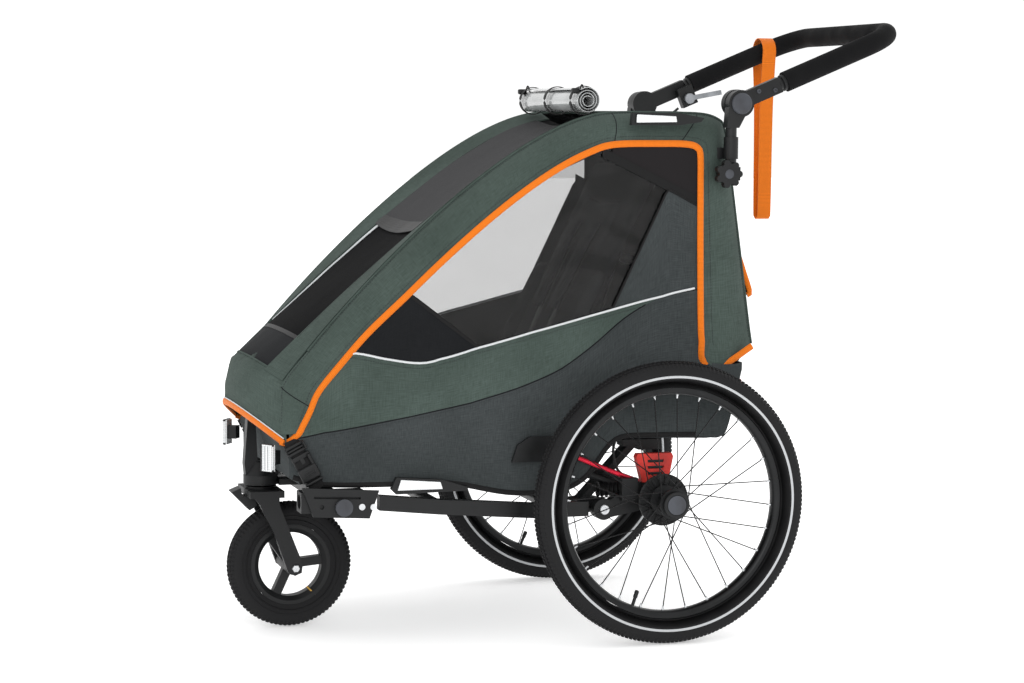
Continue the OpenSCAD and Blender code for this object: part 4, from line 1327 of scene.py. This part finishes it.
@dataclass
class RearWheel:
    """One rear wheel: tyre with tread and stripe, rim, nipples, hub and cap."""

    side: Side
    tyre_r: float = 250.0
    tyre_w: float = 47.0
    spokes: int = 28
    tread_count: int = 196
    phase: float = 0.264

    @property
    def body(self) -> str:
        """Name of the body that turns."""
        return f"wheel_{self.side.label}"

    def centre(self) -> Vector:
        """Centre of the wheel."""
        return box_centre(f"tyre_{self.side.label}")

    def around(self, count: int, radius: float, off: float, phase: float = 0.0, tilt: float = 0.0) -> list[Matrix]:
        """Places round the wheel, with local Z pointing away from the hub.

        Args:
            count: Number of places.
            radius: Distance from the axle in millimetres.
            off: Distance from the wheel plane in millimetres, towards the outside.
            phase: Turn of the first place, in steps.
            tilt: Lean towards the outside in radians.

        Returns:
            One matrix for each place.
        """
        middle = self.centre() + Vector((0, self.side.value * off * MM, 0))
        places = []
        for k in range(count):
            turn = Matrix.Rotation(TAU * (k + phase) / count, 4, "Y")
            lean = Matrix.Rotation(-tilt * self.side.value, 4, "X")
            places.append(Matrix.Translation(middle) @ turn @ Matrix.Translation(Vector((0, 0, radius * MM))) @ lean)
        return places

    def build(self) -> None:
        """Makes the parts of the wheel."""
        name = self.side.label
        axis = Vector((0, self.side.value, 0))
        middle = self.centre()
        section = self.tyre_r - self.tyre_w / 2
        profile = []
        for i in range(29):
            angle = math.radians(-200 + 220 * i / 28 + 180)
            radius = self.tyre_w / 2 - 0.4 - (1.6 if abs(math.degrees(angle) - 90) < 38 else 0.0)
            profile.append((section + radius * math.sin(angle), radius * math.cos(angle)))
        profile += [(205, 19.0), (204.5, -19.0)]
        profile = [(max(r, 204.5), y) for r, y in profile]
        tyre = lathe(f"tyre_carcass_{name}", profile, middle, axis, RUBBER, 160)
        treads = self.tread(name)
        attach(tyre, self.body)
        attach(treads, self.body)
        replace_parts(tyre, f"tyre_{name}")
        stripe = ((221.4, 23.0), (222.4, 23.6), (224.6, 23.7), (225.6, 23.2), (223.5, 22.6))
        for face in (1, -1):
            ring = [(r, h * face) for r, h in stripe]
            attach(lathe(f"reflex_ring_{'out' if face > 0 else 'in'}_{name}", ring, middle, axis, SILVER_TAPE, 160),
                    self.body)
        rim = lathe(f"rim_profile_{name}", ((203.8, -13), (203.8, -11.4), (200, -11), (200, 11), (203.8, 11.4),
                                            (203.8, 13),
                                            (197.6, 13), (193.5, 10.2), (191.2, 5.6), (191, 0), (191.2, -5.6),
                                            (193.5, -10.2), (197.6, -13)), middle, axis, RIM_PAINT, 160)
        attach(rim, self.body)
        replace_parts(rim, f"rim_{name}")
        seed = lathe("nipple_seed", ((0.2, 6.5), (1.7, 6.3), (1.9, 1.5), (2.6, 0.6), (2.6, -0.6), (0.2, -0.8)),
                     Vector((0, 0, 0)), Vector((0, 0, -1)), NICKEL, 10)
        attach(copies(seed, f"nipples_{name}", self.around(self.spokes, 190.4, 0.0, -self.phase * self.side.value)),
                self.body)
        self.valve(name)
        self.hub(name, axis)

    def tread(self, name: str) -> bpy.types.Object:
        """Makes the moulded tread: a centre rib of small blocks and a row of cuts on each shoulder."""
        rows = []
        for index, (angle, size) in enumerate(((0.0, (5.4, 7.0, 1.7)), (0.40, (5.0, 5.0, 1.7)),
                                               (-0.40, (5.0, 5.0, 1.7)),
                                               (0.82, (3.8, 10.0, 2.0)), (-0.82, (3.8, 10.0, 2.0)))):
            section = self.tyre_w / 2
            radius = self.tyre_r - section + (section - 1.0) * math.cos(angle)
            off = (section - 1.0) * math.sin(angle)
            seed = block("tread_seed", Vector((0, 0, 0)), size, RUBBER, 0.4, taper=0.86, segments=1)
            places = self.around(self.tread_count, radius, off, 0.5 * (index % 2), angle)
            rows.append(copies(seed, f"tread_row_{index}_{name}", places))
        return join(f"tread_{name}", rows)

    def valve(self, name: str) -> None:
        """Adds the tyre valve with its cap at the foot of the wheel."""
        turn = self.around(1, 186.0, 1.0, 0.558, 0.12)[0]
        stem = lathe(f"valve_{name}", ((0.2, -22), (3.0, -21.6), (3.9, -20), (3.9, -9), (3.0, -8.4), (3.0, 6),
                                       (0.2, 6)),
                     Vector((0, 0, 0)), Vector((0, 0, 1)), ABS_BLACK, 14)
        stem.data.transform(turn)
        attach(stem, self.body)

    def hub(self, name: str, axis: Vector) -> None:
        """Adds the flange lips, the vaned disc and the cap ring to the hub."""
        middle = self.centre()
        finish_node(f"hub_{name}", ABS_BLACK)
        finish_node(f"spokes_{name}", SPOKE)
        finish_node(f"hub_button_{name}", ABS_GREY)
        for index, off in enumerate((24.0, -24.0)):
            lip = lathe(f"flange_lip_{index}_{name}", ((26.6, -1.6), (27.6, -0.8), (27.6, 0.8), (26.6, 1.6)),
                        middle + axis * off * MM, axis, RIM_PAINT, 60)
            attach(lip, self.body)
        seed = block("vane_seed", Vector((0, 0, 0)), (3.2, 3.0, 24.0), ABS_BLACK, 0.8)
        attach(copies(seed, f"disc_vanes_{name}", self.around(20, 33.0, -31.4, 0.25)), self.body)
        rim = lathe(f"disc_edge_{name}", ((43.6, -2.4), (46.2, -1.8), (46.2, 1.8), (43.6, 2.4)),
                    middle - axis * 33.4 * MM, axis, ABS_BLACK, 80)
        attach(rim, self.body)
        ring = lathe(f"cap_ring_{name}", ((17.6, 0.0), (22.6, -0.2), (23.2, 1.4), (22.0, 2.4), (18.0, 2.6)),
                     middle + axis * 33.6 * MM, axis, ABS_BLACK, 60)
        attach(ring, self.body)


@dataclass
class FrontWheel:
    """Swivelling front wheel with block tread, fork details and the lock lever."""

    tyre_r: float = 114.5
    tyre_w: float = 44.0
    blocks: int = 84

    def build(self) -> None:
        """Makes the tyre and the small parts round the fork."""
        middle = box_centre("front_tyre")
        axis = Vector((0, -1, 0))
        section = self.tyre_r - self.tyre_w / 2
        profile = []
        for i in range(27):
            angle = math.radians(-20 + 220 * i / 26)
            radius = self.tyre_w / 2 - 0.3 - (1.5 if 34 < math.degrees(angle) < 146 else 0.0)
            profile.append((max(section + radius * math.sin(angle), 73.4), radius * math.cos(angle)))
        profile += [(73.4, -16.0), (73.4, 16.0)]
        tyre = lathe("front_tyre_carcass", profile, middle, axis, RUBBER, 110)
        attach(tyre, "front_wheel")
        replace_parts(tyre, "front_tyre")
        rows = []
        for index, (angle, size) in enumerate(((0.0, (5.4, 8.0, 1.7)), (0.46, (5.2, 6.5, 1.7)),
                                               (-0.46, (5.2, 6.5, 1.7)),
                                               (0.86, (4.6, 8.0, 1.6)), (-0.86, (4.6, 8.0, 1.6)))):
            seed = block("front_block_seed", Vector((0, 0, 0)), size, RUBBER, 0.6, taper=0.85, segments=1)
            radius = section + (self.tyre_w / 2 - 1.2) * math.cos(angle)
            off = (self.tyre_w / 2 - 1.2) * math.sin(angle)
            places = [Matrix.Translation(middle + Vector((0, off * MM, 0))) @ Matrix.Rotation(TAU * (k + index * 0.5)
                      / self.blocks, 4, "Y") @ Matrix.Translation(Vector((0, 0, radius * MM)))
                      @ Matrix.Rotation(-angle, 4, "X") for k in range(self.blocks)]
            rows.append(copies(seed, f"front_block_row_{index}", places))
        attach(join("front_tread", rows), "front_wheel")
        finish_node("front_rim", ABS_BLACK)
        finish_node("fork", ABS_BLACK)
        finish_node("swivel_lock", ABS_BLACK)
        for index, radius in enumerate((90.0, 82.0)):
            for face in (1, -1):
                y = (21.9 - abs(radius - 92.5) * 0.16) * face
                ring = lathe(f"sidewall_rib_{index}_{'out' if face > 0 else 'in'}",
                             ((radius - 0.9, y - 0.5), (radius, y + 0.8 * face),
                             (radius + 0.9, y - 0.5)), middle, axis, RUBBER, 90)
                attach(ring, "front_wheel")
        stem = lathe("front_valve", ((0.2, -14), (2.0, -13.6), (2.6, -12), (2.6, -6), (2.0, -5.6), (2.0, 8),
                                     (0.2, 8)),
                     middle + Vector((0.036, -0.012, -0.048)), Vector((-0.6, 0.1, 0.6)).normalized(), BRASS, 14)
        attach(stem, "front_wheel")
        for side in Side:
            nut = lathe(f"fork_nut_{side.label}", ((0.2, 4), (6.4, 4), (7.4, 3), (7.8, 0), (0.2, 0)),
                        middle + Vector((0, side.value * 0.058, 0)), Vector((0, side.value, 0)), NICKEL, 6)
            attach(nut, "caster")


@dataclass
class Chassis:
    """Finishes of the hard chassis parts and the small parts added to them."""

    def build(self) -> None:
        """Dresses the chassis nodes and adds the straps, rods and bellows."""
        for node in ("side_rails", "cross_tubes", "nose_frame", "hoop_tubes", "rear_frame", "handle_posts",
                     "handle_bar"):
            finish_node(node, POWDER)
        for node in ("uprights", "head_housing", "coupling_brackets", "base_reflector_housings", "arch_guards",
                     "hoop_eyes", "roof_reflectors", "post_clamps", "joint_housings", "brake_mount", "star_knob_left",
                     "star_knob_right", "rear_axle", "brake_calipers"):
            finish_node(node, ABS_BLACK)
        for node in ("coupling_knob_left", "coupling_knob_right", "tilt_button_left", "tilt_button_right"):
            finish_node(node, ABS_GREY)
        finish_node("bracket_bolts", NICKEL)
        finish_node("brake_lever", ALLOY)
        finish_node("reflector_lenses", REFLECTOR)
        finish_node("roof_reflectors", ABS_BLACK)
        finish_node("spring_blocks", RED_RUBBER)
        for side in Side:
            self.small_parts(side)
        lamp = block("rear_lamp", at(180, -188, 443), (10, 26, 15), RED_LENS, 2.5)
        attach(lamp, "chassis")

    def small_parts(self, side: Side) -> None:
        """Adds the lens, strap, bellows, rod, hose and bolts of one side."""
        name, s = side.label, side.value
        lens = outline_plate(f"roof_lens_{name}", ((-50, 913.5), (-49, 928), (24, 925), (26, 914.5)), s * 271.5,
                             s * 274.0, REFLECTOR, 1.2)
        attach(lens, "hoop")
        strap = [at(x, s * (half_w(x) + off), z) for x, off, z in ((-652, 3, 366), (-645, 5, 350), (-632, 9, 326),
                                                                   (-619, 6, 304), (-608, 4, 282))]
        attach(cord_like(f"nose_strap_{name}", strap, 27.0, 2.4, Vector((0, s, 0)), BLACK_WEB, 8, cuts=24),
                "chassis")
        self.buckle(side)
        groove = [block(f"groove_{k}_{name}", at(-3, s * 258.6, 292.5 + 11 * k), (26 + 2 * k, 3.4, 4.6), ABS_BLACK,
                        1.2)
                  for k in range(3)]
        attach(join(f"block_slots_{name}", groove), "axle")
        facing = Matrix.Rotation(math.radians(-35 * s), 4, "Z")
        corner = Vector((-684, s * 186, 334))
        parts = []
        for part, (size, off, finish) in enumerate((((9, 25, 47), (-5, 0, 0), REFLECTOR),
                                                    ((9, 3, 47), (-6.2, 12, 0), ABS_BLACK),
                                                    ((3, 2.4, 42), (-8.6, -4, 0), CLEAR_RIB),
                                                    ((3, 2.4, 42), (-8.6, 3, 0), CLEAR_RIB),
                                                    ((6, 26, 4), (-5, 0, 22), ABS_BLACK),
                                                    ((6, 26, 4), (-5, 0, -22), ABS_BLACK))):
            offset = facing @ Vector(off)
            parts.append(block(f"nose_lens_{part}_{name}", at(*(corner + offset)), size, finish, min(size) * 0.45,
                               facing))
        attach(join(f"nose_lens_{name}", parts), "chassis")
        rings = []
        for i in range(15):
            rings.append((11.0 if i % 2 else 14.5, 4.0 * i))
        bellows = lathe(f"bellows_{name}", [(5.0, 0.0)] + rings + [(5.0, 56.0)], at(-98, s * 222, 262),
                        Vector((1, 0, 0)), CABLE, 40)
        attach(bellows, "axle")
        rod = cord_like(f"drag_rod_{name}", [at(-196, s * 262, 346), at(-150, s * 262, 326), at(-90, s * 262, 301),
                                             at(-36, s * 262, 280)], 9.0, 9.0, Vector((0, 1, 0)), RED_ANODISED, 12,
                        cuts=24)
        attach(rod, "axle")
        sleeve = cord_like(f"drag_sleeve_{name}", [at(-150, s * 218, 302), at(-110, s * 219, 288),
                                                   at(-50, s * 220, 264)],
                           15.0, 15.0, Vector((0, 1, 0)), ABS_BLACK, 14, cuts=16)
        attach(sleeve, "axle")
        held_cord(f"brake_hose_{name}", [at(-66, s * 226, 352), at(-72, s * 230, 330), at(-66, s * 234, 300),
                                         at(-50, s * 236, 284)], 5.0, "axle")
        for bolt, (x, z, r) in enumerate(((-100, 232, 9.0), (12, 250, 6.5), (-8, 266, 4.5))):
            head = lathe(f"axle_bolt_{bolt}_{name}", ((0.2, 0), (r, 0), (r, 3.2), (r - 1.2, 4.2), (r * 0.5, 4.2),
                                                      (r * 0.45, 2.0),
                                                      (0.2, 2.0)), at(x, s * (264.2 if bolt == 0 else 258.2), z),
                         Vector((0, s, 0)), NICKEL, 24)
            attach(head, "axle")

    def buckle(self, side: Side) -> None:
        """Adds the ladder bar, the prongs and the socket of the nose strap's side release buckle.

        Args:
            side: Side of the trailer.
        """
        lean = Matrix.Rotation(math.radians(-27.5), 4, "Y")
        down, across = Vector((0.464, 0, -0.886)), Vector((0.886, 0, 0.464))
        parts = []
        for length, off, out, size, bevel in (
                (10, 0, 3.0, (35, 5, 5), 1.4), (22, 0, 3.0, (35, 5, 5), 1.4), (16, 0, 4.0, (31, 3, 3.5), 1.0),
                (16, 16.0, 3.0, (3.5, 5, 15), 1.2), (16, -16.0, 3.0, (3.5, 5, 15), 1.2),
                (32, 0, 4.0, (34, 7.5, 9), 2.0), (42, 13.4, 4.0, (6, 6.5, 20), 2.0),
                                              (42, -13.4, 4.0, (6, 6.5, 20), 2.0),
                (42, 0, 4.0, (8, 4.5, 18), 1.4), (63, 0, 4.5, (35, 9.5, 25), 3.0), (56, 0, 9.6, (20, 1.6, 2.2), 0.7),
                (61, 0, 9.6, (20, 1.6, 2.2), 0.7), (66, 0, 9.6, (20, 1.6, 2.2), 0.7),
                                              (80, 0, 4.0, (33, 6.5, 5), 1.6)):
            place = Vector((-652, 0, 366)) + down * length + across * off
            place.y = side.value * (half_w(place.x) + out + 4.0)
            parts.append(block(f"nose_buckle_{len(parts)}_{side.label}", at(*place), size, ABS_BLACK, bevel, lean))
        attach(join(f"nose_buckle_{side.label}", parts), "chassis")


@dataclass
class PushBar:
    """Foam grip, screws, wrist strap and brake cable of the push bar."""

    tilt: tuple[float, float] = (150.0, 948.0)
    rise: float = math.radians(22.5)
    half: float = 236.0
    corner: float = 70.0
    end: float = 343.5
    start: float = 102.0
    grip_d: float = 37.0

    def along_bar(self, u: float, w: float, y: float) -> Vector:
        """Point given along the bar, above it and across the trailer, in millimetres."""
        c, s = math.cos(self.rise), math.sin(self.rise)
        return at(self.tilt[0] + u * c - w * s, y, self.tilt[1] + u * s + w * c)

    def build(self) -> None:
        """Makes the grip and the parts on it."""
        path = [self.along_bar(mix(self.start, self.end - self.corner, i / 12), 0, -self.half) for i in range(12)]
        for i in range(17):
            a = math.pi / 2 * i / 16
            path.append(self.along_bar(self.end - self.corner + self.corner * math.sin(a), 0,
                                       -self.half + self.corner - self.corner * math.cos(a)))
        path += [self.along_bar(self.end, 0, mix(-self.half + self.corner, 0, i / 8)) for i in range(1, 9)]
        path += [Vector((p.x, -p.y, p.z)) for p in reversed(path[:-1])]
        grip = cord_like("foam_grip_sleeve", path, self.grip_d, self.grip_d, Vector((0, 0, 1)), FOAM, 32)
        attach(grip, "push_bar")
        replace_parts(grip, "foam_grip")
        for side in Side:
            name, s = side.label, side.value
            for index, (u, w) in enumerate(((46, 5), (76, -5))):
                screw = lathe(f"joint_screw_{index}_{name}",
                              ((0.2, 0), (4.2, 0), (4.2, 1.8), (3.4, 2.6), (1.8, 2.6), (1.6, 1.0),
                                                              (0.2, 1.0)), self.along_bar(u, w, s * 246.0),
                              Vector((0, s, 0)), ABS_GREY, 18)
                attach(screw, "push_bar")
            collar = [self.along_bar(self.start - 6, 0, s * self.half),
                      self.along_bar(self.start + 1, 0, s * self.half)]
            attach(cord_like(f"grip_collar_{name}", collar, 30.0, 30.0, Vector((0, 0, 1)), ABS_BLACK, 24),
                    "push_bar")
            cap = lathe(f"tilt_cap_{name}", ((0.2, 2.6), (13, 2.4), (17.4, 1.4), (18.6, 0), (0.2, 0)),
                        at(self.tilt[0], s * 269.4, self.tilt[1]), Vector((0, s, 0)), ABS_GREY, 48)
            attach(cap, f"button_tilt_{name}")
            hubcap = lathe(f"star_insert_{name}", ((0.2, 1.6), (7, 1.4), (8.4, 0), (0.2, 0)), at(120, s * 288.8, 824),
                           Vector((0, s, 0)), ABS_GREY, 24)
            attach(hubcap, f"knob_star_{name}")
        self.strap()
        self.cable()

    def strap(self) -> None:
        """Hangs the orange wrist strap over the right side of the grip."""
        top, foot, x = (236.0, 1052.0), 728.0, 402.0
        loop = []
        for i in range(21):
            a = math.pi * i / 20
            loop.append(at(x, top[0] - 27.5 * math.cos(a), top[1] + 27.5 * math.sin(a)))
        drop = [(25.5, 0.08), (20, 0.3), (14, 0.6), (9.5, 0.85), (7.5, 1.0)]
        loop += [at(x + 1.5 * math.sin(t * 5), top[0] + w, mix(top[1], foot, t)) for w, t in drop]
        loop += [at(x, top[0] + 7.5 * math.cos(a), foot - 7.0 * math.sin(a))
                 for a in (math.pi * i / 8 for i in range(1, 8))]
        loop += [at(x - 1.5 * math.sin(t * 5), top[0] - w, mix(top[1], foot, t)) for w, t in reversed(drop)]
        loop.append(loop[0])
        middle = at(x, top[0], 0)
        peak = at(x, top[0], top[1]).z

        def surface(u: float, v: float) -> Vector:
            return along(loop, u) + Vector((mix(-0.0138, 0.0138, v), 0, 0))

        band = cloth("wrist_strap_web", surface, (150, 3), (0.73, 0.0276), 1.6,
                     lambda p: Vector((0, p.y - middle.y, max(0.0, p.z - peak))), ORANGE)
        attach(band, "strap")
        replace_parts(band, "wrist_strap")

    def cable(self) -> None:
        """Runs the brake cable from the lever mount down to the frame."""
        path = [at(*p) for p in ((216, 222, 940), (206, 222, 932), (192, 222, 922), (178, 222, 925), (166, 222, 934))]
        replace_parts(held_cord("brake_cable_sheath", path, 5.0, "push_bar"), "brake_cable")


@dataclass
class Studio:
    """Pale floor, soft lights and the camera.

    Attributes:
        place: Camera's place, in millimetres from the ground under the rear axle.
        yaw: Turn of the view from +Y towards +X.
        pitch: Downward tilt of the view.
        roll: Turn of the view round its own axis.
        lens: Focal length in millimetres.
        sensor: Sensor width in millimetres.
        farthest: Far clip distance in metres.
        floor_size: Width of the floor in metres.
        floor_glow: Emission strength of the floor.
        sky: Strength of the world background.
    """

    place: tuple[float, float, float] = (-1565.7, -4458.3, 930.0)
    yaw: float = math.radians(17.14)
    pitch: float = math.radians(5.16)
    roll: float = math.radians(0.35)
    lens: float = 89.2
    sensor: float = 36.0
    farthest: float = 100.0
    floor_size: float = 60.0
    floor_glow: float = 0.36
    sky: float = 1.06

    def camera(self) -> None:
        """Places the camera and makes it the scene's own."""
        data = bpy.data.cameras.new("camera")
        data.lens, data.sensor_width, data.clip_end = self.lens, self.sensor, self.farthest
        obj = bpy.data.objects.new("camera", data)
        bpy.context.scene.collection.objects.link(obj)
        ahead = Vector((math.sin(self.yaw) * math.cos(self.pitch), math.cos(self.yaw) * math.cos(self.pitch),
                        -math.sin(self.pitch)))
        right = ahead.cross(Vector((0, 0, 1))).normalized()
        up = right.cross(ahead)
        across = right * math.cos(self.roll) + up * math.sin(self.roll)
        above = up * math.cos(self.roll) - right * math.sin(self.roll)
        turn = Matrix((across, above, -ahead)).transposed().to_4x4()
        obj.matrix_world = Matrix.Translation(at(*self.place)) @ turn
        bpy.context.scene.camera = obj

    def light(self, name: str, place: Vector, size: float, power: float) -> None:
        """Hangs one square soft light that faces the trailer."""
        data = bpy.data.lights.new(name, "AREA")
        data.shape, data.size, data.energy = "SQUARE", size, power
        obj = bpy.data.objects.new(name, data)
        bpy.context.scene.collection.objects.link(obj)
        aim = Vector((0, 0, 0.5)) - place
        obj.matrix_world = Matrix.Translation(place) @ aim.to_track_quat("-Z", "Y").to_matrix().to_4x4()

    def build(self) -> None:
        """Makes the floor, the world and the lights."""
        bpy.ops.object.select_all(action="DESELECT")
        bpy.ops.mesh.primitive_grid_add(x_subdivisions=2, y_subdivisions=2, size=self.floor_size)
        floor = bpy.context.object
        floor.name = "studio_floor"
        paper = Finish("studio_paper_white", "#fdfdfd", 0.95).build()
        shader = next(node for node in paper.node_tree.nodes if node.type == "BSDF_PRINCIPLED")
        shader.inputs["Emission Color"].default_value = WHITE
        shader.inputs["Emission Strength"].default_value = self.floor_glow
        floor.data.materials.append(paper)
        world = bpy.context.scene.world or bpy.data.worlds.new("world")
        bpy.context.scene.world = world
        world.use_nodes = True
        sky = world.node_tree.nodes["Background"]
        sky.inputs["Color"].default_value = WHITE
        sky.inputs["Strength"].default_value = self.sky
        self.light("key_light", Vector((-1.6, -4.4, 2.0)), 2.6, 46.0)
        self.light("top_light", Vector((0.2, 0.4, 4.0)), 3.0, 6.0)
        self.light("rear_light", Vector((3.2, 1.6, 2.4)), 2.0, 22.0)
        bpy.context.scene.view_settings.view_transform = "Standard"


def main() -> None:
    """Builds the trailer round its frame and reports each piece."""
    logging.basicConfig(level=logging.INFO, format="%(message)s")
    studio = Studio()
    studio.camera()
    makers = [SideCloth(Side.LEFT), SideCloth(Side.RIGHT), EdgeBand(Side.LEFT), EdgeBand(Side.RIGHT), FrontCover(),
              RearAndRoof(), Seat(), RearWheel(Side.LEFT), RearWheel(Side.RIGHT), FrontWheel(), Chassis(), PushBar()]
    for maker in makers:
        before = set(bpy.data.objects)
        maker.build()
        for obj in sorted(set(bpy.data.objects) - before, key=lambda item: item.name):
            log.info("%s: %s, %d faces", type(maker).__name__, obj.name, len(obj.data.polygons))
    studio.build()


if __name__ == "__main__":
    main()
